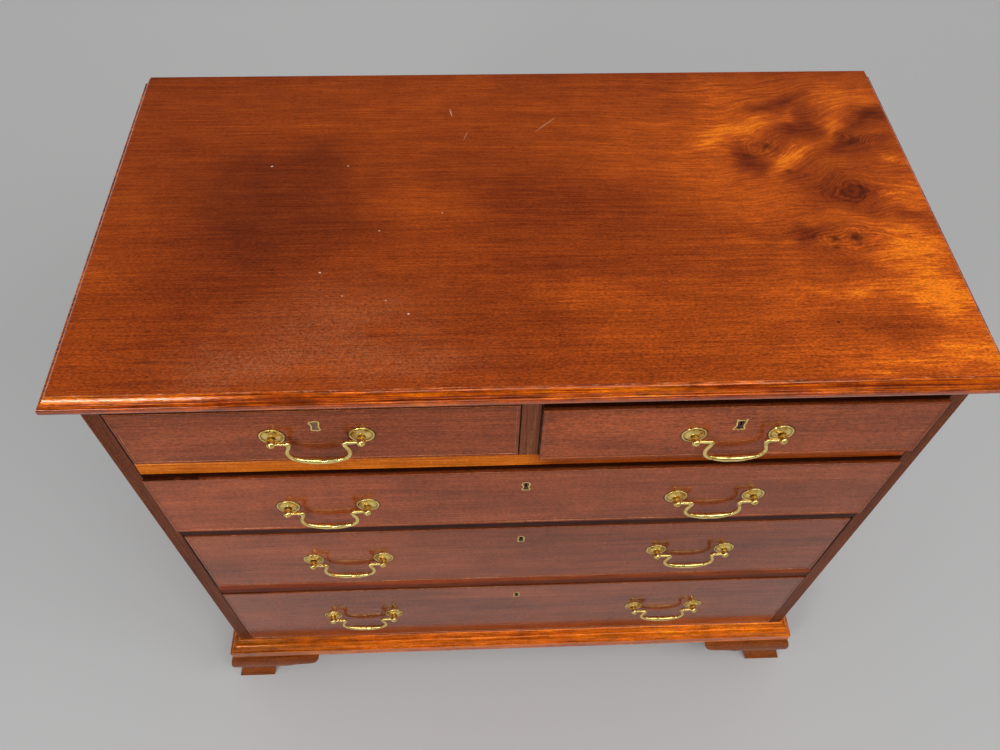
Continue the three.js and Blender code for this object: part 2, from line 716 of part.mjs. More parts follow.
// A bail: a round bar of changing thickness along a curve in x and z, made about the middle
// of its two pins.
function bail() {
  const half = post_spacing / 2;
  const path = bail_path_shares.map(([x, z]) => [x * half, z * bail_drop]);
  path.unshift([half - pin_inset, 0]);
  const radii = [pin_radius, ...bail_radius_shares.map((share) => share * bail_radius)];
  const mirrored = path.slice(0, -1).map(([x, z]) => [-x, z]);
  const points = [...mirrored, ...path.reverse()];
  const widths = [...radii.slice(0, -1), ...radii.reverse()];
  const corners = [];
  const faces = [];
  points.forEach(([x, z], i) => {
    const [ax, az] = points[Math.max(i - 1, 0)];
    const [bx, bz] = points[Math.min(i + 1, points.length - 1)];
    const length = Math.hypot(bx - ax, bz - az);
    const normal = [-(bz - az) / length, (bx - ax) / length];
    for (let k = 0; k < bail_sides; k += 1) {
      const turn = 2 * Math.PI * (k + 1 / 2) / bail_sides;
      const across = widths[i] * Math.cos(turn);
      corners.push(x + across * normal[0], widths[i] * Math.sin(turn), z + across * normal[1]);
    }
  });
  const last = (points.length - 1) * bail_sides;
  for (let i = 0; i < points.length - 1; i += 1) {
    for (let k = 0; k < bail_sides; k += 1) {
      const a = i * bail_sides + k;
      const b = i * bail_sides + (k + 1) % bail_sides;
      faces.push(a, a + bail_sides, b, b, a + bail_sides, b + bail_sides);
    }
  }
  for (let k = 1; k < bail_sides - 1; k += 1) {
    faces.push(0, k, k + 1);
    faces.push(last, last + k + 1, last + k);
  }
  const geometry = new THREE.BufferGeometry();
  geometry.setAttribute('position', new THREE.Float32BufferAttribute(corners, 3));
  geometry.setIndex(faces);
  return geometry;
}

// Assembly

const chest = new THREE.Group();

function add_carcass() {
  const [, short_right, second, third, fourth] = drawers;
  let top_rail = housed(front_y + top_rail_deep, top_rail_z, sides_top_z);
  top_rail = bolt_mortise(top_rail, short_right, top_rail_z);
  top_rail = stile_mortise(top_rail, top_rail_z - overrun, top_rail_z + tenon_long + fit_gap);
  const rail_1 = stile_mortise(rail(rail_1_z, second), short_z - tenon_long - fit_gap, short_z + overrun);
  chest.add(piece('top_board', top_board(), mahogany_top));
  chest.add(piece('side_left', side(-1), mahogany));
  chest.add(piece('side_right', side(1), mahogany));
  chest.add(piece('back_panel', back_panel(), pine));
  chest.add(piece('bottom_board', housed(inner_back_y, floor_z - board_thick, floor_z), pine));
  chest.add(piece('top_rail', top_rail, mahogany));
  chest.add(piece('rail_1', rail_1, mahogany_bright));
  chest.add(piece('rail_2', rail(rail_2_z, third), mahogany_bright));
  chest.add(piece('rail_3', rail(rail_3_z, fourth), mahogany_bright));
  chest.add(piece('centre_stile', centre_stile(), mahogany));
  chest.add(piece('centre_partition', centre_partition(), pine));
  chest.add(piece('dustboard_1', dustboard(rail_1_z), pine));
  chest.add(piece('dustboard_2', dustboard(rail_2_z), pine));
  chest.add(piece('dustboard_3', dustboard(rail_3_z), pine));
  chest.add(piece('base_moulding', base_moulding(), mahogany_bright));
  chest.add(piece('foot_front_left', foot(-1, false), mahogany_bright));
  chest.add(piece('foot_front_right', foot(1, false), mahogany_bright));
  chest.add(piece('foot_back_left', foot(-1, true), mahogany_bright));
  chest.add(piece('foot_back_right', foot(1, true), mahogany_bright));
}

function add_drawer(drawer) {
  const group = new THREE.Group();
  const centre_x = (drawer.left + drawer.right) / 2;
  group.position.set(centre_x, front_y + bead_out - drawer.proud, drawer.floor);
  group.add(piece(`${drawer.name}_front`, drawer_front(drawer), mahogany));
  group.add(piece(`${drawer.name}_side_left`, drawer_side_board(drawer, -1), oak));
  group.add(piece(`${drawer.name}_side_right`, drawer_side_board(drawer, 1), oak));
  group.add(piece(`${drawer.name}_back`, drawer_back_board(drawer), oak));
  group.add(piece(`${drawer.name}_bottom`, drawer_bottom_board(drawer), oak));

  const places = handle_places(drawer);
  for (const x of places) {
    const which = x < 0 ? '_left' : '_right';
    const mesh = piece(`${drawer.name}_bail${places.length > 1 ? which : ''}`, bail(), brass);
    mesh.position.set(x, -post_reach, drawer.post_high);
    group.add(mesh);
  }

  if (drawer.lock) {
    group.add(piece(`${drawer.name}_lock`, lock_case(drawer), steel));
    const bolt = piece(`${drawer.name}_lock_bolt`, lock_bolt(), brass);
    bolt.position.set(0, front_thick - lock_deep / 2, drawer_sizes(drawer).top);
    group.add(bolt);
  }
  chest.add(group);
}

add_carcass();
drawers.forEach(add_drawer);

export default chest;
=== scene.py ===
"""A bachelor's chest in polished mahogany: carcass, moulded top, base and ogee bracket feet,
five cock-beaded drawers and their brass. Metres, +Z up, the front looks along -Y."""

import json
import math

import bmesh
import bpy
import numpy as np
from mathutils import Matrix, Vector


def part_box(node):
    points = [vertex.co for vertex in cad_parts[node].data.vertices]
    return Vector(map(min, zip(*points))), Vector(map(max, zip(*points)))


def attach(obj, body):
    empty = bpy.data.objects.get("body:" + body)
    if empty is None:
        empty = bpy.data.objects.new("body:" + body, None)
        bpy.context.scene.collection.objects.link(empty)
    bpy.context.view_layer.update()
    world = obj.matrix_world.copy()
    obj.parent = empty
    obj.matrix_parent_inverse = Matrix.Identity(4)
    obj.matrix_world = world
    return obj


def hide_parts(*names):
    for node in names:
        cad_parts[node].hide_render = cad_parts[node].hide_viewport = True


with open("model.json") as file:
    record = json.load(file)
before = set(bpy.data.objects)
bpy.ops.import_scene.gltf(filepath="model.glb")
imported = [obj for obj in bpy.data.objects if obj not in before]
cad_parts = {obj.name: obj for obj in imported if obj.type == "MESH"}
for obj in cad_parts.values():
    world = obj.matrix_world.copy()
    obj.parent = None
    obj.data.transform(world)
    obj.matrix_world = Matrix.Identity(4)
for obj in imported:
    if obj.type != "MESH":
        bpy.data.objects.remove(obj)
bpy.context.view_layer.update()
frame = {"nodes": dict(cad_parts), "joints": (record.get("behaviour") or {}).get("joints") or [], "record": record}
nodes = frame["nodes"]
mm = 0.001


# Studio: a seamless pale grey floor under large soft boxes. The camera stands where the
# photograph was taken from, close in front and looking steeply down.

def linear(colour):
    """sRGB hex to linear: each channel is ((c + 0.055) / 1.055) to the power 2.4, or c / 12.92
    where it is under 0.04045."""
    channels = np.array([int(colour[i:i + 2], 16) / 255 for i in (1, 3, 5)])
    curve = ((channels + 0.055) / 1.055) ** 2.4
    return (*np.where(channels > 0.04045, curve, channels / 12.92).tolist(), 1)


def add(tree, kind, *inputs, at=range(9), give=0, stops=(), **settings):
    """Adds a shader node, its kind followed by its operation if it has one, and returns one of
    its outputs, or all where give is None. Values and links go in order into the sockets
    numbered in at (None leaves one alone), or into the one that a capitalised keyword names.
    Other keywords are the node's settings."""
    kind, *operation = kind.split()
    made = tree.nodes.new("ShaderNode" + kind)
    if operation:
        made.operation = operation[0]
    for i, (place, colour) in enumerate(stops):
        stop = made.color_ramp.elements[i] if i < 2 else made.color_ramp.elements.new(place)
        stop.position, stop.color = place, linear(colour)
    sockets = list(zip(at, inputs))
    for key, value in settings.items():
        if key[0].isupper():
            sockets.append((key.replace("_", " "), value))
        else:
            setattr(made, key, value)
    for key, value in sockets:
        if isinstance(value, bpy.types.NodeSocket):
            tree.links.new(value, made.inputs[key])
        elif value is not None:
            made.inputs[key].default_value = linear(value) if isinstance(value, str) else value
    return made.outputs if give is None else made.outputs[give]


# A Mix node for colours: the sockets of its share and two colours, and its result.
colours = {"at": (0, 6, 7), "give": 2, "data_type": "RGBA"}


def material_tree(name):
    """A new material, its empty node tree, and the place on the object that it shades."""
    made = bpy.data.materials.new(name)
    made.use_nodes = True
    tree = made.node_tree
    tree.nodes.clear()
    return made, tree, add(tree, "TexCoord", give="Object")


def placed(name, data):
    """A new object of the data, in the scene."""
    made = bpy.data.objects.new(name, data)
    bpy.context.scene.collection.objects.link(made)
    return made


camera_place = (-0.060331, -0.682404, 1.485935)
camera_turn = (0.621005, -0.0153043, -0.0373527)
camera_lens, sensor_wide = 30.38, 36
floor_half = 9
# The floor's grey near the chest, the paler grey painted far behind it as light, and the y in metres over which
# one turns into the other.
near_grey, far_grey, far_from, far_to = "#c9c9c9", "#dadada", 0.5, 1.75
backdrop_grey, overhead_grey, reflector_grey = "#adadad", "#404040", "#4c4c4c"
daylight, aim_high = 0.45, 0.45
# Each soft box: name, place, size, watts. They look at the middle of the chest.
soft_boxes = [
    ("key", (0.5, -1.9, 3.2), (2.4, 1.1), 38),
    ("left", (-1.18, -1.95, 1.6), (0.56, 0.28), 12.5),
    ("right", (2.3, -0.9, 2.4), (1.0, 1.2), 9),
]

camera = placed("camera", bpy.data.cameras.new("camera"))
camera.location, camera.rotation_euler = camera_place, camera_turn
camera.data.lens, camera.data.sensor_width = camera_lens, sensor_wide
bpy.context.scene.camera = camera
bpy.context.scene.view_settings.view_transform = "Standard"

floor_mesh = bpy.data.meshes.new("floor")
corners = [(-1, -1), (1, -1), (1, 1), (-1, 1)]
floor_mesh.from_pydata([(x * floor_half, y * floor_half, 0) for x, y in corners], [],
                       [(0, 1, 2, 3)])
floor = placed("floor", floor_mesh)
paper, tree, place = material_tree("seamless paper")
floor_mesh.materials.append(paper)
# The floor's grey is painted paler further back, behind the chest, as painted light.
far = add(tree, "MapRange", add(tree, "SeparateXYZ", place, give=1), far_from, far_to)
paper_grey = add(tree, "Mix", far, near_grey, far_grey, **colours)
add(tree, "OutputMaterial", add(tree, "BsdfDiffuse", paper_grey), give=None)

world = bpy.data.worlds.new("studio")
bpy.context.scene.world = world
world.use_nodes = True
sky = world.node_tree
sky.nodes.clear()
# Behind the chest the studio falls away into the dark. In front a large reflector stands. The
# camera sees plain backdrop, the gloss and glass see all three, and matt surfaces even light.
_, sky_y, sky_z = add(sky, "SeparateXYZ", add(sky, "TexCoord", give="Generated"), give=None)
overhead = add(sky, "MapRange", sky_z, 0.02, 0.22)
forward = add(sky, "MapRange", sky_y, 0.05, -0.35)
ceiling = add(sky, "Mix", forward, overhead_grey, reflector_grey, **colours)
room = add(sky, "Mix", overhead, backdrop_grey, ceiling, **colours)
rays = add(sky, "LightPath", give=None)
seen_grey = add(sky, "Mix", rays["Is Camera Ray"], room, backdrop_grey, **colours)
seen = add(sky, "Math MAXIMUM", rays["Is Camera Ray"], rays["Is Glossy Ray"])
seen = add(sky, "Math MAXIMUM", seen, rays["Is Transmission Ray"])
even = add(sky, "Background", "#ffffff", daylight)
backdrop = add(sky, "Background", seen_grey, 1.0)
add(sky, "OutputWorld", add(sky, "MixShader", seen, even, backdrop), give=None)

for name, place, size, watts in soft_boxes:
    box = bpy.data.lights.new(name, "AREA")
    box.shape, box.size, box.size_y, box.energy = "RECTANGLE", *size, watts
    lamp = placed(name, box)
    lamp.location = place
    aim = (0, 0, aim_high) - np.array(place)
    lamp.rotation_euler = (math.pi - math.acos(aim[2] / np.linalg.norm(aim)), 0,
                           math.atan2(aim[1], aim[0]) - math.pi / 2)


# Carcass: mahogany sides, rails and stile, glued and housed together. The arrises were eased
# with a scraper before polishing and have worn since.

arris, joint_ease = 0.7, 0.35
rounded_over, flat_within = math.radians(25), math.radians(0.5)


def drawn_noise(tree, place, along, cell, *reach):
    """Noise drawn out along the grain. A cell says its mm along and across the grain, the detail
    and the roughness. The reach, if given, is what the noise is mapped from and to."""
    long, wide, detail, rough = cell
    scale = tuple(1 / (mm * (long if axis == along else wide)) for axis in "xyz")
    spot = add(tree, "Mapping", place, Scale=scale)
    noise = add(tree, "TexNoise", spot, Scale=1, Detail=detail, Roughness=rough)
    return add(tree, "MapRange", noise, *reach) if reach else noise


def wood_grain(tree, place, along, cells, spread=0.14):
    """The sum of noises drawn out along the grain, each a weight and a cell. Half, give or take
    the spread, becomes 0 to 1."""
    total = None
    for weight, *cell in cells:
        cloud = drawn_noise(tree, place, along, (*cell, 0.55))
        total = add(tree, "Math MULTIPLY_ADD", cloud, weight, total or 0)
    return add(tree, "MapRange", total, 0.5 - spread, 0.5 + spread)


# Mahogany: cloudy figure a hand wide, ribbons, straight grain lines and a faint ripple across.
mahogany_cells = [
    (0.26, 420, 75, 2), (0.16, 260, 9, 3), (0.44, 70, 1.5, 3), (0.14, 34, 40, 3),
]
# Pores are 0.2 mm wide in life and drawn three times as wide, to show at all. Flecks are the
# short pale and dark dashes of the rays.
pore, dash = (10, 0.7, 1, 0.5), (3.6, 1.2, 2, 0.6)
pore_deep, wave_deep = 0.12, 0.3
amber, shellac_ior = "#ff9040", 1.46


def french_polish(name, stops, along="x", shift=(0, 0, 0), gloss=0.08, coat=1.0, fleck=0.45,
                  spread=0.2, glow=(0.03, 0.36), **retouch):
    """Mahogany under French polish, a hard clear coat of shellac that mirrors its surroundings
    over slightly open pores. A worn coat is thinner. The wood under it gives back light tinted
    amber: glow is how much and how rough. A function given as place, tone, flecks, colour or
    surface changes that on its way."""
    made, tree, object_place = material_tree(name)

    def retouched(what, value):
        return retouch[what](tree, value, object_place) if what in retouch else value

    place = retouched("place", add(tree, "Mapping", object_place, Location=shift))
    tone = retouched("tone", wood_grain(tree, place, along, mahogany_cells, spread))
    pores = drawn_noise(tree, place, along, pore, 0.58, 0.72)
    flecks = drawn_noise(tree, place, along, dash, 0.3, 0.7, 1 - fleck, 1 + fleck)
    flecks = retouched("flecks", flecks)
    flecks = add(tree, "Math MULTIPLY", flecks, add(tree, "MapRange", pores, 0, 1, 1, 0.6))
    colour = add(tree, "ValToRGB", tone, stops=stops)
    colour = retouched("colour", add(tree, "VectorMath MULTIPLY", colour, flecks))
    amount, rough = glow
    sheen = add(tree, "MapRange", tone, 0, 1, rough * 1.15, rough * 0.85)
    waves = add(tree, "TexNoise", object_place, Scale=22, Detail=2)
    waves = add(tree, "Bump", Strength=0.2, Distance=wave_deep * mm, Height=waves)
    surface = add(tree, "Bump", invert=True, Strength=0.3, Distance=pore_deep * mm,
                  Height=pores, Normal=retouched("surface", waves))
    skin = add(tree, "BsdfPrincipled", Base_Color=colour, Roughness=sheen, Normal=surface,
               Specular_IOR_Level=amount, Specular_Tint=amber, Coat_Weight=coat,
               Coat_Roughness=gloss, Coat_IOR=shellac_ior, Coat_Normal=surface)
    add(tree, "OutputMaterial", skin, give=None)
    return made


dust = "#3c2818"


def bare_wood(name, stops, along, cells):
    """Planed wood that was never polished: open grain, dull, darkened by handling and dust."""
    made, tree, place = material_tree(name)
    tone = wood_grain(tree, place, along, cells)
    smudge = add(tree, "TexNoise", place, Scale=9, Detail=4, Roughness=0.65)
    smudge = add(tree, "MapRange", smudge, 0.5, 0.75, 0, 0.55)
    colour = add(tree, "Mix", smudge, add(tree, "ValToRGB", tone, stops=stops), dust, **colours)
    skin = add(tree, "BsdfPrincipled", Base_Color=colour,
               Roughness=add(tree, "MapRange", tone, 0, 1, 0.75, 0.6),
               Normal=add(tree, "Bump", Strength=0.4, Distance=0.2 * mm, Height=tone))
    add(tree, "OutputMaterial", skin, give=None)
    return made


def finish_piece(mesh, name, body, materials, replaced=()):
    """Links a mesh as a piece at the origin, riding on its body."""
    for material in materials:
        mesh.materials.append(material)
    made = placed(name, mesh)
    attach(made, body)
    if replaced:
        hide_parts(*replaced)
    return made


def body_with(node):
    """The body that a CAD node rides on."""
    groups = frame["record"]["behaviour"]["bodies"]
    return next(body for body, members in groups.items() if node in members)


def merged(mesh, apart=2e-6):
    """The mesh as a bmesh, with vertices that lie less than so many metres apart merged."""
    solid = bmesh.new()
    solid.from_mesh(mesh)
    bmesh.ops.remove_doubles(solid, verts=solid.verts, dist=apart)
    return solid


def smooth_mesh(name, solid):
    """The bmesh as a mesh that is shaded smooth."""
    for face in solid.faces:
        face.smooth = True
    mesh = bpy.data.meshes.new(name)
    solid.to_mesh(mesh)
    solid.free()
    return mesh


def ease_arrises(made, width_mm, edge_slot=0):
    """Rounds every sharp edge. The rounding takes the material in edge_slot."""
    ease = made.modifiers.new("eased arrises", "BEVEL")
    ease.width, ease.segments, ease.limit_method = width_mm * mm, 2, "ANGLE"
    ease.angle_limit, ease.material = rounded_over, edge_slot
    made.modifiers.new("flat faces shade flat", "WEIGHTED_NORMAL").weight = 100


def eased_copy(node, materials, width_mm, solid=None):
    """A piece with the node's solid: flat neighbours joined to whole faces, arrises eased."""
    solid = solid or merged(nodes[node].data)
    bmesh.ops.dissolve_limit(solid, angle_limit=flat_within, verts=solid.verts,
                             edges=solid.edges)
    name = node + "_wood"
    made = finish_piece(smooth_mesh(name, solid), name, body_with(node), materials, [node])
    ease_arrises(made, width_mm, len(materials) - 1)
    return made


case_stops = [(0, "#421c0e"), (1, "#94502c"), (0.4, "#623019"), (0.75, "#783e22")]
worn_stops = [(0, "#6a3420"), (1, "#c08a68"), (0.5, "#8a4c30"), (0.8, "#a4684a")]
stile_stops = [(0, "#502714"), (1, "#965c3e"), (0.5, "#754028")]
# Near black: the stile's arrises are painted with it as the shade in the gaps beside it.
gap_shade_stops = [(0, "#160805"), (1, "#3a1a10")]
# The painted shade of the gap beside the drawers, along the sides' inner edges: its colour, and the mm from the
# inner face where it starts to fade and where it ends.
gap_shade_black, gap_starts, gap_ends = "#120504", 0.8, 1.5
case_coat = 0.12
side_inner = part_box("side_right")[0].x


def painted_gap_shade(tree, colour, place):
    """Painted shade: the sides' inner edges, where the drawers run, painted black as the shadow in the gap."""
    out = add(tree, "Math ABSOLUTE", add(tree, "SeparateXYZ", place))
    black = add(tree, "MapRange", out, side_inner + gap_starts * mm, side_inner + gap_ends * mm,
                0.85, 0)
    return add(tree, "Mix", black, colour, gap_shade_black, **colours)


upright = french_polish("French-polished mahogany, grain upright", stile_stops, "z",
                        coat=case_coat, fleck=0.3)
lengthwise = french_polish("French-polished mahogany, grain lengthwise", case_stops,
                           coat=case_coat)
gap_shade_polish = french_polish("polish blackened in the gaps", gap_shade_stops, "z", coat=0.2)
# The sides and their arrises both take the painted gap shade along their inner edges.
side_polish = french_polish("French-polished mahogany sides", case_stops, "z", coat=case_coat,
                            colour=painted_gap_shade)
side_arris = french_polish("worn mahogany arris of the sides", worn_stops, "z", gloss=0.2,
                           coat=0.2, colour=painted_gap_shade)
for node in ("side_left", "side_right"):
    eased_copy(node, [side_polish, side_arris], arris)
# The stile's arrises take the painted gap shade.
eased_copy("centre_stile", [upright, gap_shade_polish], arris)
# Each rail: its colours, the share of its height where the darkening downwards begins and ends, and what its
# colour is multiplied by in its right half. On rail 1 that right half is darkened as painted shade under the proud
# short right drawer.
rails = {
    "rail_1": ([(0, "#8c3c04"), (1, "#f89038"), (0.5, "#cc680e")], (-2, 0.3),
               (0.46, 0.32, 0.16)),
    # Rail 2 is coloured nearly black as painted shade: it lies in the shadow of the proud second drawer.
    "rail_2": ([(0, "#240a04"), (1, "#6a2a10"), (0.5, "#3e150a")], (-0.6, 1.2), (1, 1, 1)),
    "rail_3": ([(0, "#5c1e08"), (1, "#c0540c"), (0.5, "#8a340a")], (0.35, 0.75), (1.1, 1.3, 1)),
}


def rail_darkened_and_shaded(low, high, reach, right_share):
    """Darkens a rail from its upper edge downwards, and its right half beyond the stile, which on rail 1 is
    painted shade.
    """
    def darkened(tree, colour, place):
        x, _, z = add(tree, "SeparateXYZ", place, give=None)
        start, finish = (low.z + share * (high.z - low.z) for share in reach)
        down = add(tree, "MapRange", z, start, finish, 0.4, 1, interpolation_type="SMOOTHSTEP")
        colour = add(tree, "VectorMath MULTIPLY", colour, down)
        browner = add(tree, "VectorMath MULTIPLY", colour, right_share)
        return add(tree, "Mix", add(tree, "MapRange", x, 0.0, 0.03), colour, browner, **colours)
    return darkened


for node, (stops, reach, right_share) in rails.items():
    polish = french_polish("French-polished mahogany " + node.replace("_", " "), stops,
                           coat=case_coat, fleck=0.3, spread=0.15,
                           colour=rail_darkened_and_shaded(*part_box(node), reach, right_share))
    eased_copy(node, [polish, polish], arris)
eased_copy("top_rail", [lengthwise, lengthwise], arris)

# Pine: wide early wood and narrow dark late wood, so strong lines 4 to 9 mm apart.
pine_cells = [(0.3, 500, 60, 1), (0.45, 700, 7, 2), (0.25, 90, 1.5, 2)]
pine_stops = [(0, "#74472a"), (1, "#d8a576"), (0.5, "#b07a4a")]
pine = {axis: bare_wood("bare pine, grain " + way, pine_stops, axis, pine_cells)
        for axis, way in (("z", "upright"), ("x", "lengthwise"), ("y", "front to back"))}
for node, axis in (("back_panel", "z"), ("bottom_board", "x"), ("centre_partition", "y"),
                   ("dustboard_1", "x"), ("dustboard_2", "x"), ("dustboard_3", "x")):
    eased_copy(node, [pine[axis]], joint_ease)


# Top: one wide mahogany board with knots and swirling figure towards its right end. The edge
# is moulded on three sides with a quirk, an ovolo, a step and a round nose.

top_low, top_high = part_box("top_board")
edge_out = 10.6
top_cell = 2.9
hair = 1e-6
# The edge from the upper face down: shares of its projection and of the board's thickness,
# and the mm by which each corner is rounded.
top_edge = [
    (0, 0, 0), (0.06, 0, 0.6), (0.09, 0.075, 0.5), (0.14, 0.08, 0.8), (0.24, 0.11, 1.6),
    (0.42, 0.22, 1.6), (0.6, 0.37, 1), (0.63, 0.43, 0.5), (0.76, 0.445, 1.5), (0.93, 0.48, 1.5),
    (1, 0.57, 2.2), (1, 0.78, 2.5), (0.93, 0.92, 2), (0.76, 1, 0.6),
]


def profile(rows, wide, high, base=0, steps=5):
    """A curve through rows of (share of the width, share of the height, mm of rounding). Each
    inner corner becomes a parabola that starts and ends that far from the corner, or half a
    side away where the side is shorter."""
    rows = np.array([row[:3] for row in rows])
    points, radii = rows[:, :2] * (wide, high) + (0, base), rows[:, 2] * mm
    legs = np.diff(points, axis=0)
    lengths = np.linalg.norm(legs, axis=1)
    reach = np.minimum(radii[1:-1], np.minimum(lengths[:-1], lengths[1:]) * 0.499)
    start = (points[1:-1] - legs[:-1] * (reach / lengths[:-1])[:, None])[:, None]
    finish = (points[1:-1] + legs[1:] * (reach / lengths[1:])[:, None])[:, None]
    t = np.linspace(0, 1, steps)[None, :, None]
    curve = (1 - t) ** 2 * start + 2 * t * (1 - t) * points[1:-1, None] + t ** 2 * finish
    return np.vstack([points[:1], curve.reshape(-1, 2), points[-1:]])


def grid_faces(rows, columns, wrap_rows=False, wrap_columns=False):
    """The quads of a grid whose vertices are numbered row by row, closed on itself where told."""
    r = np.arange(rows if wrap_rows else rows - 1)[:, None]
    c = np.arange(columns if wrap_columns else columns - 1)[None, :]
    r2, c2 = (r + 1) % rows, (c + 1) % columns
    return np.stack([r * columns + c, r * columns + c2, r2 * columns + c2, r2 * columns + c],
                    -1).reshape(-1, 4)


def closed_mesh(name, vertices, faces, sharp=35):
    """A mesh with its doubles merged, its normals turned outward and its edges over that many
    degrees kept sharp."""
    rough = bpy.data.meshes.new("rough")
    rough.from_pydata(np.reshape(vertices, (-1, 3)).tolist(), [], [tuple(f) for f in faces])
    solid = merged(rough, hair)
    bpy.data.meshes.remove(rough)
    bmesh.ops.recalc_face_normals(solid, faces=solid.faces)
    mesh = smooth_mesh(name, solid)
    mesh.set_sharp_from_angle(angle=math.radians(sharp))
    return mesh


def vertex_places(mesh):
    """The mesh's vertices as rows of x, y and z."""
    places = np.empty(len(mesh.vertices) * 3)
    mesh.vertices.foreach_get("co", places)
    return places.reshape(-1, 3)


def paint(mesh, name, values):
    """Gives each vertex a number that a material reads by that name."""
    mesh.attributes.new(name, "FLOAT", "POINT").data.foreach_set("value", values)


edge_curve = profile(top_edge, edge_out * mm, top_low.z - top_high.z, top_high.z, 4)
left, right = top_low.x + edge_out * mm, top_high.x - edge_out * mm
front, back = top_low.y + edge_out * mm, top_high.y
across = np.linspace(left, right, round((right - left) / (top_cell * mm)))
deep = np.linspace(front, back, round((back - front) / (top_cell * mm)))
face_x, face_y = np.meshgrid(across, deep)
face = np.stack([face_x, face_y, np.full_like(face_x, top_high.z)], -1)
# The face's rim, once round, and how each of its points steps outward down the moulding.
rim = np.concatenate([face[0, :-1], face[:-1, -1], face[-1, :0:-1], face[:0:-1, 0]])
outward = np.stack([
    np.where(rim[:, 0] < left + hair, -1, np.where(rim[:, 0] > right - hair, 1, 0)),
    np.where(rim[:, 1] < front + hair, -1, 0)], -1)
rings = np.repeat(rim[None], len(edge_curve), 0)
rings[..., :2] += edge_curve[:, None, :1] * outward[None]
rings[..., 2] = edge_curve[:, None, 1]
vertices = np.vstack([face.reshape(-1, 3), rings.reshape(-1, 3)])
count = len(rim)
faces = [*grid_faces(*face_x.shape),
         *(grid_faces(len(rings), count, wrap_columns=True) + face_x.size),
         np.arange(len(vertices) - count, len(vertices))]
top_mesh = closed_mesh("top_wood", vertices, faces)
x, y, z = (vertex_places(top_mesh) / mm).T


def blob(x, y, centre, radii, turn=0.0, soft=1.0):
    """A soft-edged ellipse: 1 inside, falling to 0 about its outline, its axes turned."""
    c, s = math.cos(turn), math.sin(turn)
    u = ((x - centre[0]) * c + (y - centre[1]) * s) / radii[0]
    v = ((y - centre[1]) * c - (x - centre[0]) * s) / radii[1]
    return 1 / (1 + np.exp((np.hypot(u, v) - 1) * 8 / soft))


def ripple(x, y, *waves):
    """A sum of sines, each (mm long in x, mm long in y, phase, weight): slow uneven edges."""
    return sum(w * np.sin(2 * np.pi * (x / a + y / b) + phase) for a, b, phase, w in waves)


# Where the board's figure lies, in mm from the middle of the chest. The dark stain at the left
# has a ragged outline, bent more sharply towards the right.
ragged_x = x + ripple(x, y, (190, 130, 0.4, 6), (83, -61, 2.1, 4), (41, 37, 4.0, 2),
                      (27, -17, 1.1, 1.6))
ragged_y = y + ripple(x, y, (160, -110, 1.3, 5), (71, 95, 0.2, 4), (-33, 45, 2.6, 2),
                      (37, 13, 0.7, 1.4))
# Stains, clouds and haze: centre x and y, half length, half width, degrees turned, softness,
# and how strong, or for a cloud how much lighter or darker.
stains = [
    (-262, 8, 92, 82, -8.6, 1.5, 0.9), (-222, 98, 24, 28, 68.8, 2, 0.5),
    (-350, 48, 78, 46, 0, 3.5, 0.4), (-300, -84, 50, 34, 0, 3, 0.5),
]
clouds = [
    (-112, 8, 50, 36, -10, 1.6, 0.12), (-150, -72, 50, 9, 2, 4, 0.07),
    (60, -122, 42, 15, -14, 2.5, 0.13), (-436, -90, 26, 110, 0, 5, 0.14),
    (-140, 178, 45, 5, 3, 4, 0.1), (175, 75, 90, 36, -6, 5, 0.12), (255, 30, 50, 40, 10, 5, 0.1),
    (250, 192, 36, 15, 0, 4, 0.2), (398, 192, 40, 16, 0, 4, 0.26), (256, 126, 38, 15, 24, 3, 0.4),
    (242, 155, 14, 7, 20, 3, 0.24), (228, 104, 20, 8, 22, 3, 0.22),
    (312, 76, 27, 11, 50, 2.5, 0.5), (326, 155, 16, 5, 42, 3, 0.26),
    (383, 140, 24, 9, 58, 3, 0.4), (438, 83, 14, 9, 10, 3, 0.42), (428, 14, 26, 19, -6, 3, 0.38),
    (356, -21, 32, 7, -6, 4, 0.26), (408, -62, 27, 26, -20, 3, 0.5),
    (406, -96, 16, 8, -20, 3, 0.3), (428, -130, 36, 17, 0, 3, 0.44),
    (330, -124, 60, 7, 0, 4, 0.26), (400, -214, 90, 14, 0, 4, 0.34),
    (440, -160, 22, 34, 0, 4, 0.2), (258, -17, 11, 6, 0, 4, 0.12), (255, -53, 26, 5, 0, 4, 0.12),
    (360, -150, 140, 110, 0, 6, 0.2), (340, 120, 160, 130, 0, 6, 0.16),
    (170, 215, 260, 40, 0, 6, 0.07), (305, 173, 27, 12, 15, 2, -0.32),
    (349, 187, 27, 9, 50, 2, -0.28), (350, 145, 40, 18, 40, 2.5, -0.32),
    (311, 130, 24, 9, 20, 2, -0.2), (430, 153, 28, 22, 18, 2, -0.36),
    (386, 112, 26, 13, 42, 2, -0.28), (430, 112, 15, 7, 5, 2, -0.26),
    (403, 90, 46, 12, 4, 3, -0.24), (270, 72, 22, 17, -30, 2, -0.38),
    (352, 28, 52, 26, -16, 3, -0.34), (386, 22, 26, 12, -15, 3, -0.2),
    (308, -48, 14, 16, 0, 2, -0.32), (410, -16, 44, 7, -4, 4, -0.16),
    (350, -86, 36, 10, 0, 4, -0.18), (362, -172, 46, 12, 0, 4, -0.24),
    (10, 30, 75, 45, -12, 5, -0.12), (160, -8, 80, 26, -8, 5, -0.14),
    (-26, -165, 72, 58, 0, 1.3, -0.08), (-20, -86, 120, 5, 3, 4, -0.08),
    (180, -170, 90, 30, 0, 6, -0.05), (0, 246, 480, 9, 0, 4, -0.1),
    (-370, -185, 90, 50, 0, 5, -0.1), (-380, 100, 90, 120, 0, 6, -0.04),
    (-20, 60, 160, 60, 0, 6, -0.04),
]
hazes = [
    (-190, -160, 72, 44, 5.7, 2.5, 1), (-280, -208, 60, 22, 0, 2, 1),
    (-110, -205, 60, 18, 0, 2.5, 0.8), (-150, -168, 22, 12, 0, 2, -0.6),
]
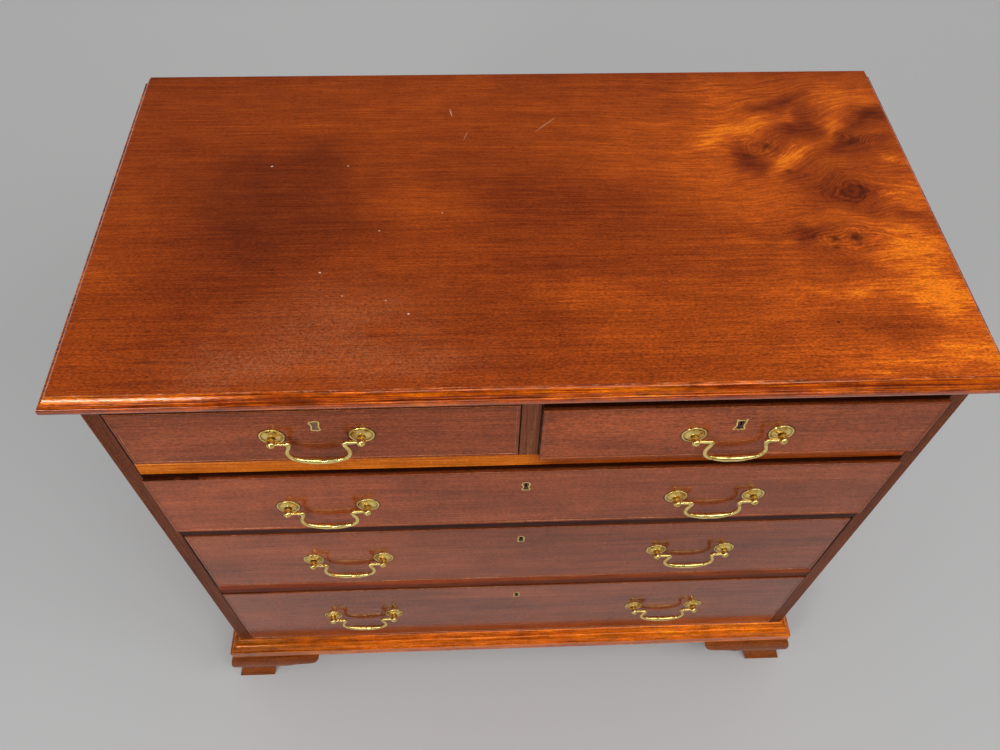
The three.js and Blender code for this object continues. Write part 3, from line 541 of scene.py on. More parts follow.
# Knots: centre x and y, half length, half width. Their black hearts: x, y, size, strength.
knots = [(286, 98, 19, 18), (344, -53, 29, 15), (401, 110, 16, 9), (378, 24, 34, 20)]
hearts = [
    (292, 100, 8, 0.8), (266, 84, 6, 0.6), (401, 110, 10, 0.8), (392, 105, 6, 0.5),
    (333, -52, 6, 1), (356, -50, 9.5, 1), (331, -64, 4, 0.8), (432, 164, 10, 0.5),
    (308, 57, 4.5, 0.8),
]
# Heights of the moulding's two arrises, which wear, and how far the wear spreads, in mm.
arrises = [(840.4, 0.7), (822.4, 0.9)]
# The grain rises to the right through the flame and parts round each knot. How far a place
# is from the nearest knot, in the knot's own sizes, draws the rings.
flame = blob(x, y, (375, 125), (100, 75), 0.5, 5)
bend = np.zeros((len(x), 3))
bend[:, 1] = flame * (-0.5 * (x - 290) + 7 * ripple(x, y, (110, 150, 0.0, 1.0),
                                                    (64, -90, 1.7, 0.5)))
bend[:, 0] = 5 * flame * ripple(x, y, (88, 77, 0.9, 1.0))
around = np.full(len(x), 9.0)
for knot_x, knot_y, long, wide in knots:
    away = np.hypot((ragged_x - knot_x) / long, (ragged_y - knot_y) / wide)
    around = np.minimum(around, away)
    bend[:, 1] -= (y - knot_y) * 0.7 * np.exp(-(away / 1.6) ** 2)
for name, shapes in (("stain", stains), ("lift", clouds), ("haze", hazes)):
    paint(top_mesh, name, sum(
        strength * blob(ragged_x, ragged_y, (cx, cy), (long, wide), math.radians(turn), soft)
        for cx, cy, long, wide, turn, soft, strength in shapes))
paint(top_mesh, "heart", sum(strength * np.exp(-((x - cx) ** 2 + (1.3 * (y - cy)) ** 2)
                                               / size ** 2) for cx, cy, size, strength in hearts))
paint(top_mesh, "arris", sum(np.exp(-((z - high) / wide) ** 2) for high, wide in arrises))
paint(top_mesh, "rings", around)
top_mesh.attributes.new("bend", "FLOAT_VECTOR", "POINT").data.foreach_set(
    "vector", (bend * mm).ravel())


def bent_grain(tree, place, _):
    """Moves each place of the top by how far the grain runs aside there."""
    bend = add(tree, "Attribute", give="Vector", attribute_name="bend")
    return add(tree, "VectorMath ADD", place, bend)


def top_tone(tree, tone, place):
    """The board's tone with its pale and dark clouds, which break up into streaks at their
    edges, and the rings of its knots."""
    lifted = add(tree, "Attribute", give="Fac", attribute_name="lift")
    streak = drawn_noise(tree, bent_grain(tree, place, None), "x", (28, 3.6, 4, 0.65),
                         0.3, 0.7, 0.35, 1.6)
    lifted = add(tree, "Math MULTIPLY", lifted, streak)
    around = add(tree, "Attribute", give="Fac", attribute_name="rings")
    fuzz = add(tree, "TexNoise", place, Scale=90, Detail=3)
    around = add(tree, "Math MULTIPLY_ADD", fuzz, 0.5, around)
    wave = add(tree, "Math SINE", add(tree, "Math MULTIPLY", around, 17))
    wave = add(tree, "Math MULTIPLY", wave, add(tree, "MapRange", around, 1.9, 0.9, 0, 0.07))
    base = add(tree, "Math MULTIPLY_ADD", tone, 0.5, 0.17)
    return add(tree, "Math ADD", add(tree, "Math ADD", base, lifted), wave, use_clamp=True)


# Scratches, specks of paint and dark spots: centre x and y, half length and half width in mm,
# degrees turned, colour, strength.
marks = [
    (35, 145, 22, 1.1, 45, "#d8a078", 0.5), (-78, 169, 9, 0.9, 100, "#e8b890", 0.7),
    (-61, 125, 11, 0.7, 73, "#d8a078", 0.5), (-281, 76, 1.8, 1.1, 30, "#f0d8c0", 0.9),
    (-195, 75, 1.3, 1.2, 0, "#e8c8a8", 0.8), (-155, -29, 1.2, 1.0, 0, "#e8c8a8", 0.8),
    (-213, -88, 1.5, 1.2, 20, "#f0d8c0", 0.9), (-188, -120, 1.2, 1.0, 0, "#e8c8a8", 0.7),
    (-144, -127, 1.2, 1.0, 0, "#e8c8a8", 0.7), (-121, -145, 1.6, 1.2, 0, "#f0d8c0", 0.9),
    (-88, -3, 1.2, 1.0, 0, "#e8c8a8", 0.7), (-298, -163, 4.5, 2.6, 0, "#5a200c", 0.5),
    (-372, -161, 4.5, 2.4, 10, "#5a200c", 0.6), (305, -166, 2.2, 1.4, 20, "#2c1008", 0.8),
]
stained_share, heart_black, haze_pale = (0.58, 0.56, 0.9), "#2c0e07", "#d8946a"


def evened(tree, flecks, place):
    """Weakens the flecks away from the front, where light falls along the grain."""
    keep = add(tree, "MapRange", add(tree, "SeparateXYZ", place, give=1), -0.2, 0.05, 1, 0.5)
    return add(tree, "Math MULTIPLY_ADD", add(tree, "Math SUBTRACT", flecks, 1), keep, 1)


def top_colour(tree, colour, place):
    """The board's colour with the old stain, the hearts of the knots, haze in the polish, and
    marks from use."""
    stain, heart, haze = (add(tree, "Attribute", give="Fac", attribute_name=name)
                          for name in ("stain", "heart", "haze"))
    cloudy = add(tree, "TexNoise", place, Scale=26, Detail=4, Roughness=0.6)
    cloudy = add(tree, "MapRange", cloudy, 0.3, 0.7, 0.75, 1.05)
    stain = add(tree, "Math MULTIPLY", stain, cloudy, use_clamp=True)
    stained = add(tree, "VectorMath MULTIPLY", colour, stained_share)
    colour = add(tree, "Mix", stain, colour, stained, **colours)
    heart = add(tree, "Math MULTIPLY", heart, 0.85, use_clamp=True)
    colour = add(tree, "Mix", heart, colour, heart_black, **colours)
    speck = add(tree, "TexNoise", place, Scale=420, Detail=4, Roughness=0.75)
    haze = add(tree, "Math MULTIPLY", haze, add(tree, "MapRange", speck, 0.4, 0.7, 0, 0.33))
    colour = add(tree, "Mix", haze, colour, haze_pale, **colours)
    for mark_x, mark_y, long, wide, turn, tint, strength in marks:
        spot = add(tree, "Mapping", place, (mark_x * mm, mark_y * mm, 0),
                   (0, 0, math.radians(turn)), (long * mm, wide * mm, 1), vector_type="TEXTURE")
        flat = add(tree, "VectorMath MULTIPLY", spot, (1, 1, 0))
        away = add(tree, "VectorMath LENGTH", flat, give="Value")
        inside = add(tree, "MapRange", away, 0.5, 1, strength, 0)
        colour = add(tree, "Mix", inside, colour, tint, **colours)
    return colour


def bruised(tree, normal, place):
    """Small dents along the moulding, which break up its reflections."""
    dents = drawn_noise(tree, place, "x", (7, 2.2, 3, 0.6))
    return add(tree, "Bump", Strength=0.5, Distance=0.25 * mm, Height=dents, Normal=normal)


def knocked_edge(tree, colour, place):
    """The moulding's colour with dark nicks and pale rubbed spots along its arrises."""
    near = add(tree, "Attribute", give="Fac", attribute_name="arris")
    knocks = drawn_noise(tree, place, "x", (9, 3, 3, 0.65))
    mottle = drawn_noise(tree, place, "x", (26, 7, 4, 0.6), 0.35, 0.62, 0.55, 1.25)
    colour = add(tree, "VectorMath MULTIPLY", colour, mottle)
    for reach, tint in (((0.44, 0.38, 0, 0.6), "#e8b080"), ((0.56, 0.62), "#2c1008")):
        share = add(tree, "Math MULTIPLY", add(tree, "MapRange", knocks, *reach), near,
                    use_clamp=True)
        colour = add(tree, "Mix", share, colour, tint, **colours)
    return colour


top_stops = [(0, "#48170c"), (1, "#ff8418"), (0.25, "#7e2f0e"), (0.5, "#a84712"),
             (0.75, "#d66016")]
top_polish = french_polish("French-polished mahogany top", top_stops, gloss=0.12,
                           place=bent_grain, tone=top_tone, colour=top_colour, flecks=evened)
edge_stops = [(0, "#3c0e00"), (1, "#ffa428"), (0.35, "#882a00"), (0.75, "#da6606")]
mould_gloss, mould_glow = 0.05, (1.0, 0.2)
edge_polish = french_polish("French-polished mahogany edge", edge_stops, gloss=mould_gloss,
                            coat=0.6, fleck=0.3, spread=0.14, glow=mould_glow,
                            colour=knocked_edge, surface=bruised)
middles = np.empty(len(top_mesh.polygons) * 3)
top_mesh.polygons.foreach_get("center", middles)
moulded = middles[2::3] < top_high.z - 0.2 * mm
top_mesh.polygons.foreach_set("material_index", moulded.astype(np.int32))
finish_piece(top_mesh, "top_wood", "carcass", [top_polish, edge_polish],
             ["top_board"])


# Base moulding: three lengths of mahogany mitred round the front corners, with a rounded upper
# edge, a long slope and an upright fillet. Glued to the carcass above the feet.

base_low, base_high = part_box("base_moulding")
case_low, case_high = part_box("side_left")[0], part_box("side_right")[1]
case_back = base_high.y
base_out = 18
base_edge = [
    (0, 1, 0), (0.14, 0.975, 1.6), (0.24, 0.9, 1.6), (0.27, 0.83, 0.3), (0.42, 0.82, 2),
    (0.6, 0.77, 3), (0.74, 0.69, 3), (0.82, 0.58, 0.6), (0.86, 0.545, 0.3), (1, 0.54, 0.6),
    (1, 0, 0),
]
base_curve = profile(base_edge, base_out * mm, base_high.z - base_low.z, base_low.z)
base_curve = np.vstack([base_curve, [0, base_low.z]])


def mottled(tree, colour, place):
    """The moulding's colour with darker spots where dirt and old polish have stayed, most of it
    at the left end."""
    mottle = drawn_noise(tree, place, "x", (30, 8, 4, 0.6), 0.35, 0.6, 0.6, 1.12)
    colour = add(tree, "VectorMath MULTIPLY", colour, mottle)
    brown = add(tree, "VectorMath MULTIPLY", colour, (0.5, 0.56, 1))
    clean = add(tree, "MapRange", add(tree, "SeparateXYZ", place), -0.4, -0.22)
    return add(tree, "Mix", clean, brown, colour, **colours)


base_stops = [(0, "#661e02"), (1, "#ffa414"), (0.35, "#c05002"), (0.75, "#f67c04")]
base_way = {"gloss": mould_gloss, "coat": 0.25, "fleck": 0.35, "glow": mould_glow,
            "surface": bruised, "colour": mottled}
base_polish = french_polish("French-polished mahogany moulding", base_stops,
                            shift=(0, 0, 0.3), spread=0.14, **base_way)
base_returns = french_polish("French-polished mahogany moulding, side lengths", base_stops,
                             "y", **base_way)


def capped_rings(name, rings, sharp=35):
    """A closed mesh through rings of points in order, the first and last ring filled."""
    rows, columns = np.shape(rings)[:2]
    faces = [*grid_faces(rows, columns, wrap_columns=True), np.arange(columns),
             np.arange(rows * columns - columns, rows * columns)]
    return closed_mesh(name, rings, faces, sharp)


def mitred_length(name, start, finish, material, replaced=()):
    """The section carried in a straight line between two stations. Each station is a plan
    point and the plan step outward per unit of projection, so a diagonal step is a mitre."""
    share = np.linspace(0, 1, 40)[:, None, None]
    out, z = base_curve.T
    start, finish = (np.stack([px + sx * out, py + sy * out, z], -1)
                     for (px, py), (sx, sy) in (start, finish))
    mesh = capped_rings(name, start * (1 - share) + finish * share)
    return finish_piece(mesh, name, "carcass", [material], replaced)


front_left = (case_low.x, case_low.y), (-1, -1)
front_right = (case_high.x, case_low.y), (1, -1)
mitred_length("base_front", front_left, front_right, base_polish, ["base_moulding"])
mitred_length("base_left", ((case_low.x, case_back), (-1, 0)), front_left, base_returns)
mitred_length("base_right", front_right, ((case_high.x, case_back), (1, 0)), base_returns)


# Feet: sawn brackets with an ogee face, mitred at the corner over a pine glue block. The wing
# ends in a cusp and a scroll. A back foot has a plain bracket across the back.

foot_out, foot_in, wing_long, block_wide, plain_thick, side_thick = 24.5, 8, 147, 46, 19, 19
ogee = [
    (0.62, 1, 0), (0.8, 0.96, 3), (0.92, 0.87, 4), (0.99, 0.75, 5), (1, 0.64, 5),
    (0.94, 0.53, 5), (0.82, 0.43, 4), (0.71, 0.35, 4), (0.68, 0.27, 4), (0.74, 0.18, 4),
    (0.87, 0.09, 4), (0.967, 0, 0),
]
wing = [
    (0.4, 0, 0), (0.425, 0.12, 8), (0.435, 0.26, 8), (0.47, 0.38, 5), (0.53, 0.45, 4),
    (0.6, 0.47, 0.6), (0.6, 0.53, 2), (0.66, 0.62, 5), (0.75, 0.67, 6), (0.84, 0.68, 5),
    (0.91, 0.71, 4), (0.955, 0.78, 4), (0.985, 0.88, 4), (1, 1, 0),
]
foot_high = base_low.z
block_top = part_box("foot_back_left")[1].z
ogee_curve = profile(ogee, foot_out * mm, foot_high)[::-1]
wing_curve = profile(wing, wing_long * mm, foot_high)
foot_stops = [(0, "#3c1606"), (1, "#c0702a"), (0.4, "#743408"), (0.75, "#9c4e14")]
foot_front = french_polish("French-polished mahogany feet", foot_stops, shift=(0, 0, 0.7),
                           coat=0.3)
foot_side = french_polish("French-polished mahogany feet, side brackets", foot_stops, "y",
                          (0, 0, 0.7), coat=0.3)


def bracket(name, corner, along, outward, material, plain=False, mitred=True, replaced=()):
    """One bracket, from the case's corner along to the wing's outline. Its outer face stands
    out by the ogee's projection at each height, or not at all if it is plain, and its inner
    face is flat. A mitred end follows the ogee out past the corner and in behind it."""
    reach, z = wing_curve.T
    same = np.ones_like(z)
    bulge = np.interp(z, ogee_curve[:, 1], ogee_curve[:, 0])
    behind = foot_in * mm if mitred or plain else 0
    end = reach - (foot_out * mm if mitred or plain else 0)
    # Where the outer and the inner face start, and how far out each stands at every height.
    starts = -bulge if mitred else behind * same, behind * same
    stands = 0 * z if plain else bulge, -(plain_thick if plain else foot_in) * mm * same
    u = np.linspace(0, 1, 30)
    length = np.hstack([start[:, None] * (1 - t) + end[:, None] * t
                        for start, t in zip(starts, (u, u[::-1]))])
    stand = np.repeat(np.stack(stands, 1), len(u), 1)
    plan = np.array(corner) + length[..., None] * along + stand[..., None] * outward
    rings = np.concatenate([plan, np.repeat(z[:, None, None], 2 * len(u), 1)], -1)
    return finish_piece(capped_rings(name, rings), name, "carcass", [material],
                        replaced)


def glue_block(name, corner, inward, starts):
    """A pine block behind the brackets: four rings of a rectangle, the upper two set back to
    clear the case's side."""
    far, rings = block_wide * mm, []
    for z, a in ((0, starts[0]), (foot_high, starts[0]), (foot_high, side_thick * mm),
                 (block_top, side_thick * mm)):
        plan = np.array([(a, starts[1]), (far, starts[1]), (far, far), (a, far)])
        rings.append(np.hstack([corner + inward * plan, np.full((4, 1), z)]))
    ease_arrises(finish_piece(capped_rings(name, rings), name, "carcass", [pine["z"]]),
                 joint_ease)


for end_y, turn_y in (("front", -1), ("back", 1)):
    for end_x, turn_x in (("left", -1), ("right", 1)):
        foot, at_back = f"foot_{end_y}_{end_x}", turn_y > 0
        corner = (case_low.x if turn_x < 0 else case_high.x, case_back if at_back else case_low.y)
        bracket(foot + "_across", corner, (-turn_x, 0), (0, turn_y),
                pine["x"] if at_back else foot_front, at_back, not at_back, [foot])
        bracket(foot + "_side", corner, (0, -turn_y), (turn_x, 0), foot_side,
                mitred=not at_back)
        glue_block(foot + "_block", corner, (-turn_x, -turn_y),
                   (foot_in * mm, (plain_thick if at_back else foot_in) * mm))


# Drawer boxes: thin oak sides and backs, dovetailed at the front and back, round a bottom board
# slid into grooves. Never polished, dull and a little dusty.

oak_cells = [(0.25, 300, 40, 2), (0.35, 260, 4, 3), (0.4, 60, 1.4, 3)]
oak_stops = [(0, "#6a4026"), (1, "#d4a178"), (0.5, "#a46e46")]
oak = {axis: bare_wood("bare oak, grain " + way, oak_stops, axis, oak_cells)
       for axis, way in (("y", "front to back"), ("x", "lengthwise"))}
drawer_names = ("short_left", "short_right", "second", "third", "fourth")
for drawer in drawer_names:
    for part, axis in (("side_left", "y"), ("side_right", "y"), ("back", "x"), ("bottom", "x")):
        eased_copy(f"{drawer}_{part}", [oak[axis]], joint_ease)


# Drawer fronts: solid mahogany with the grain lengthwise and a cock bead glued round the edge.
# Half-blind dovetails hold the sides. The quirk inside the bead is darkened with dirt and painted shade.

post_half, post_reach, rose_radius, nut_half, front_thick = 46.2, 9.4, 13.5, 5.5, 22
bead_wide, front_ease, off, flush = 3.4, 0.65, 0.2, 0.01
swings = [joint for joint in frame["joints"] if "_bail_" in joint["name"]]


def posts_of(drawer):
    """The drawer's handle posts, from the axes that its bails turn on: x, y of the face, z, and
    the side of the handle."""
    places = []
    for joint in swings:
        if joint["name"].startswith(drawer + "_bail"):
            x, y, z = joint["pos_m"]
            places += [(x + side * post_half * mm, y + post_reach * mm, z, side)
                       for side in (-1, 1)]
    return places


def without_brass(drawer):
    """The front's solid with the handle posts, roses and nuts taken off and the wood closed."""
    solid = merged(nodes[drawer + "_front"].data)
    gone = set()
    for x, y, z, _ in posts_of(drawer):
        for face in solid.faces:
            spots = np.array([v.co for v in face.verts]) - (x, y, z)
            round_post = np.hypot(spots[:, 0], spots[:, 2]) < (rose_radius + off) * mm
            square_nut = np.abs(spots[:, [0, 2]]).max(1) < (nut_half + off) * mm
            if (round_post & (spots[:, 1] < flush * mm)).all():
                gone.add(face)
            if (square_nut & (spots[:, 1] > (front_thick - flush) * mm)).all():
                gone.add(face)
    bmesh.ops.delete(solid, geom=list(gone), context="FACES")
    bmesh.ops.holes_fill(solid, edges=[e for e in solid.edges if e.is_boundary], sides=0)
    return solid


# Near black, for the fronts' dirt and painted shade alike.
dirt_and_shade_black = "#140604"
# Where dirt and painted shade lie, in mm: the middle of the line inside the bead, half its width, and the darker
# strip beside it. On the bead's outer side, painted shade of the gap, and on its upper side, from and to. How far
# back the upper side is painted black as the shade under the rail, with dirt at the joint, and where that ends.
line_at, line_half, strip_wide, bead_side, bead_top = 0.15, 0.4, 7, (0.3, 0.9), (0.7, 0.2)
inward_to, clean_over = 4.5, (8, 14)
# A ring round each rose, a little below its middle. The keyhole's half width, its half height and its middle from
# the top, where the wood is painted black as the shade of a deep hole. The stain at the left end, and how ragged
# it is.
rose_ring, ring_down, slot_half, slot_high, slot_drop = (14, 15.6), 0.6, (3.3, 2.8), 7.7, 34.8
stain_long, ragged_deep = (115, 135), 0.12


def quirk_dirt_and_shade(low, high, posts, left_light, whole_light, stained, locked):
    """Darkens the face along the inner edge of its cock bead at the ends and the top, with dirt in the quirk and
    painted shade in that crease; the bottom edge is left clean. The ends are painted dark as the shade in the gap
    beside the sides. The bead's upper side is painted black where it goes in under the rail, as the shade there
    with dirt at the joint, the keyhole's outline is painted black as the shade of a deep hole, and some fronts are
    paler, most so at the left end."""
    half_x, face_y = (high.x - low.x) / 2, posts[0][1]

    def darkened(tree, colour, place):
        middle = ((low.x + high.x) / 2, 0, 0)
        x, y, z = add(tree, "SeparateXYZ", add(tree, "VectorMath SUBTRACT", place, middle),
                      give=None)
        in_x = add(tree, "Math SUBTRACT", half_x - bead_wide * mm, add(tree, "Math ABSOLUTE", x))
        in_z = add(tree, "Math SUBTRACT", high.z - bead_wide * mm, z)
        inside = add(tree, "Math MINIMUM", in_x, in_z)
        # The line inside the bead: dirt in the quirk and painted shade in the crease.
        line = add(tree, "Math COMPARE", inside, line_at * mm, line_half * mm)
        ragged = add(tree, "TexNoise", place, Scale=60, Detail=4)
        ragged = add(tree, "Math MULTIPLY_ADD", ragged, ragged_deep, x)
        stain = add(tree, "MapRange", ragged, *(far * mm - half_x for far in stain_long),
                    stained, 0.25)
        # The upper side, painted black some mm back as the shade under the rail, with dirt at the joint.
        inward = add(tree, "MapRange", y, face_y, face_y + inward_to * mm, 0.1, 0.92)
        clean = add(tree, "MapRange", y, *(face_y + deep * mm for deep in clean_over), 1, 0.3)
        inward = add(tree, "Math MULTIPLY", inward, clean)
        upper = add(tree, "MapRange", z, *(high.z - down * mm for down in bead_top))
        upper = add(tree, "Math MULTIPLY", upper, add(tree, "Math MAXIMUM", stain, inward))
        # The bead's outer side at the ends, painted dark as the shade in the gap.
        side = ((edge - bead_wide) * mm for edge in bead_side)
        masks = [add(tree, "Math MULTIPLY", line, 0.3), upper,
                 add(tree, "MapRange", inside, 0, strip_wide * mm, 0.1, 0),
                 add(tree, "MapRange", in_x, *side, 0.8, 0)]
        # Inside the keyhole's outline the wood is painted black as the shade of a deep hole.
        if locked:
            slot = add(tree, "MapRange", in_x,
                       *(half_x - (bead_wide + half) * mm for half in slot_half))
            tall = add(tree, "Math COMPARE", z, high.z - slot_drop * mm, slot_high * mm)
            masks.append(add(tree, "Math MULTIPLY", slot, tall))
        for post_x, _, post_z, _ in posts:
            away = add(tree, "VectorMath SUBTRACT", place, (post_x, 0, post_z - ring_down * mm))
            away = add(tree, "VectorMath MULTIPLY", away, (1, 0, 1))
            away = add(tree, "VectorMath LENGTH", away, give="Value")
            masks.append(add(tree, "MapRange", away, *(r * mm for r in rose_ring), 0.75, 0))
        # The dirt and the painted shade of all the masks together.
        dirt = masks[0]
        for mask in masks[1:]:
            dirt = add(tree, "Math MAXIMUM", dirt, mask)
        paler = add(tree, "MapRange", x, -0.6 * half_x, -0.1 * half_x,
                    whole_light * left_light, whole_light)
        cloud = drawn_noise(tree, place, "x", (150, 40, 3, 0.5), 0.34, 0.66, 0.82, 1.16)
        for share in (paler, cloud):
            colour = add(tree, "VectorMath MULTIPLY", colour, share)
        return add(tree, "Mix", dirt, colour, dirt_and_shade_black, **colours)
    return darkened


front_stops = [(0, "#501f0c"), (1, "#b66836"), (0.35, "#7c3818"), (0.7, "#964824")]
# Hands have worn the polish of the upper drawers most. The coat that is left, how much paler
# the left end is, how much paler the whole front, and how black the left end of its upper side.
front_state = {
    "short_left": (0.12, 1, 0.97, 0.25), "short_right": (0.12, 1.06, 1.15, 0.25),
    "second": (0.22, 1.25, 0.99, 0.9), "third": (0.32, 1.06, 0.96, 0.25),
    "fourth": (0.43, 0.97, 1, 0.6),
}
# The beads' arrises are paler: worn, and painted pale as highlight lines.
bead_wear_and_highlight_stops = [(0, "#7a3c20"), (1, "#e8b490"), (0.5, "#b8744c")]
bead_wear_and_highlight = french_polish("cock bead rubbed pale on its arrises", bead_wear_and_highlight_stops, gloss=0.1,
                            coat=0.8, fleck=0.5, spread=0.14)
for number, drawer in enumerate(drawer_names):
    coat, *state = front_state[drawer]
    # The front's dirt and painted shade.
    dirt = quirk_dirt_and_shade(*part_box(drawer + "_front"), posts_of(drawer), *state,
                      drawer != "short_left")
    polish = french_polish(f"French-polished mahogany front {number + 1}", front_stops,
                           shift=(0.37 * number, 0, 0.21 * number), coat=coat,
                           glow=(0.22, 0.14), colour=dirt)
    eased_copy(drawer + "_front", [polish, bead_wear_and_highlight], front_ease,
               without_brass(drawer))


# Handles: cast and filed brass. Each bail swings on two turned posts that pass through round
# roses and the drawer front to square nuts inside.

brass_stops = [(0, "#5a3a14"), (1, "#ffe692"), (0.5, "#e2b04c")]
brass, tree, place = material_tree("cast brass")
# Yellow brass, polished where hands touch it and brown with tarnish in its hollows, which the
# attribute hollow marks. Filing and casting leave it faintly uneven.
blotch = add(tree, "TexNoise", place, Scale=160, Detail=4, Roughness=0.6)
clean = add(tree, "Math SUBTRACT", add(tree, "MapRange", blotch, 0.2, 0.5),
            add(tree, "Attribute", give="Fac", attribute_name="hollow"), use_clamp=True)
skin = add(tree, "BsdfPrincipled", Base_Color=add(tree, "ValToRGB", clean, stops=brass_stops),
           Metallic=1, Roughness=add(tree, "MapRange", clean, 0, 1, 0.47, 0.22),
           Normal=add(tree, "Bump", Strength=0.1, Distance=0.1 * mm, Height=blotch))
add(tree, "OutputMaterial", skin, give=None)
# The post in one with its rose, from the back of the rose to the tip: radius, distance out
# from the face, corner rounding, and how hollow the place is.
post_profile = [
    (0, -1, 0, 0), (13.5, -1, 0, 0), (13.5, 0.9, 0.6, 0), (12.7, 1.4, 0.5, 0),
    (11.8, 1.2, 0.4, 0.2), (11.3, 0.6, 0.4, 0.9), (10.4, 0.8, 0.8, 0.4), (8, 1.9, 2, 0),
    (6, 2.8, 1, 0.1), (4.8, 3.2, 0.5, 0.4), (3.9, 3.4, 0.4, 0.9), (3.3, 4.0, 0.6, 0.7),
    (3.5, 4.8, 0.6, 0.2), (4.3, 5.4, 0.6, 0), (4.7, 7.4, 2, 0), (4.8, 9.6, 2, 0),
    (4.5, 11.4, 1.6, 0), (3.6, 12.8, 1, 0), (2.3, 13.2, 0.5, 0.25), (1.6, 14, 0.4, 0),
    (0, 14.2, 0, 0),
]
bore_radius, bore_ends, bail_sides, post_sides = 1.95, (-2.6, 9), 24, 48
nut_thick, nut_ease, post_sharp, bail_sharp = 3, 0.6, 40, 60


def circle(sides):
    """The cosines and sines of that many even turns."""
    turn = np.linspace(0, 2 * np.pi, sides, endpoint=False)
    return np.cos(turn), np.sin(turn)


def turned_post():
    """Rings of the profile's radius about the Y axis at its distance out, closed at both poles,
    with the hollow of each ring as an attribute."""
    curve = profile(post_profile, mm, -mm, steps=4)
    hollow = np.interp(np.linspace(0, 1, len(curve)), np.linspace(0, 1, len(post_profile)),
                       [row[3] for row in post_profile])
    radius, out = curve[:, :1], curve[:, 1:]
    cosines, sines = circle(post_sides)
    rings = np.stack([radius * cosines, out + 0 * cosines, radius * sines], -1)
    mesh = closed_mesh("post", rings, grid_faces(*rings.shape[:2], wrap_columns=True))
    order = np.argsort(curve[:, 1])
    paint(mesh, "hollow", np.interp(vertex_places(mesh)[:, 1], curve[order, 1], hollow[order]))
    return mesh


def drilled(mesh, side):
    """The post with the bore for the bail's pin, open on the side of the handle's middle."""
    cosines, sines = circle(bail_sides)
    rings = [np.stack([-side * end + 0 * sines, bore_radius * cosines - post_reach,
                       bore_radius * sines], -1) * mm for end in bore_ends]
    cutter, block = placed("bore", capped_rings("bore", rings)), placed("post", mesh.copy())
    cut = block.modifiers.new("bore", "BOOLEAN")
    cut.object, cut.operation, cut.solver = cutter, "DIFFERENCE", "EXACT"
    graph = bpy.context.evaluated_depsgraph_get()
    result = bpy.data.meshes.new_from_object(block.evaluated_get(graph))
    for made in (cutter, block):
        bpy.data.objects.remove(made)
    return result


def square_nut(name, x, y, z, body):
    """A square brass nut on the end of the post's screw, inside the drawer."""
    square = np.array([(-1, -1), (1, -1), (1, 1), (-1, 1)]) * nut_half * mm + (x, z)
    rings = [np.insert(square, 1, y + deep * mm, 1) for deep in (front_thick,
                                                                 front_thick + nut_thick)]
    made = finish_piece(capped_rings(name, rings), name, body, [brass])
    ease_arrises(made, nut_ease)


plain_post = turned_post()
posts = {side: drilled(plain_post, side) for side in (-1, 1)}
for drawer in drawer_names:
    for number, (x, y, z, side) in enumerate(posts_of(drawer)):
        mesh = posts[side].copy()
        mesh.transform(Matrix.Translation((x, y, z)))
        finish_piece(mesh, f"{drawer}_post_{number + 1}", drawer + "_drawer", [brass])
        mesh.set_sharp_from_angle(angle=math.radians(post_sharp))
        square_nut(f"{drawer}_nut_{number + 1}", x, y, z, drawer + "_drawer")

bail_drop, bail_radius, pin_radius, pin_inset = 36, 3.5, 1.6, 0.6
# Half the bail: shares of half the post spacing and of the drop, and of the grip's radius.
bail_path = [
    (0.8, 0, 0.56), (0.7, 0, 0.62), (0.66, 0, 0.78), (0.628, -0.04, 0.92), (0.625, -0.12, 0.78),
    (0.65, -0.25, 0.7), (0.69, -0.4, 0.68), (0.7, -0.55, 0.7), (0.67, -0.71, 0.72),
    (0.59, -0.84, 0.72), (0.46, -0.92, 0.8), (0.3, -0.965, 0.98), (0.14, -0.99, 1.08), (0, -1, 1),
]


def smooth_through(points, steps):
    """A Catmull-Rom curve through the points: each stretch is the cubic that leaves and meets
    its ends along the line between their neighbours."""
    p = np.vstack([2 * points[0] - points[1], points, 2 * points[-1] - points[-2]])
    t = np.linspace(0, 1, steps, endpoint=False)[None, :, None]
    a, b, c, d = (p[i:len(p) - 3 + i][:, None] for i in range(4))
    curve = 0.5 * (2 * b + (c - a) * t + (2 * a - 5 * b + 4 * c - d) * t ** 2
                   + (3 * b - a - 3 * c + d) * t ** 3)
    return np.vstack([curve.reshape(-1, points.shape[1]), points[-1:]])


def bail_mesh(name, centre):
    """Circles of changing radius about a smooth curve in the plane of the posts, square to it."""
    half = np.array(bail_path) * (post_half, bail_drop, bail_radius)
    half = np.vstack([[post_half - pin_inset, 0, pin_radius], half])
    whole = np.vstack([half * (-1, 1, 1), half[-2::-1]]) * mm
    curve = smooth_through(whole, 7)
    way = np.gradient(curve[:, :2], axis=0)
    way /= np.linalg.norm(way, axis=1)[:, None]
    cosines, sines = circle(bail_sides)
    across = curve[:, 2:] * cosines
    rings = np.stack([curve[:, :1] - way[:, 1:] * across, curve[:, 2:] * sines,
                      curve[:, 1:2] + way[:, :1] * across], -1)
    return capped_rings(name, rings + np.array(centre), bail_sharp)


for joint in swings:
    node = joint["child"]
    finish_piece(bail_mesh(node + "_brass", joint["pos_m"]), node + "_brass", node,
                 [brass], [node])


# Keyholes and locks: a thin brass thread, bent to a keyhole's outline, is let into each front.
# The keyhole of the short left drawer is plugged with wood. The locks are iron, their bolts brass.

thread_wide, thread_proud = 0.75, 0.25
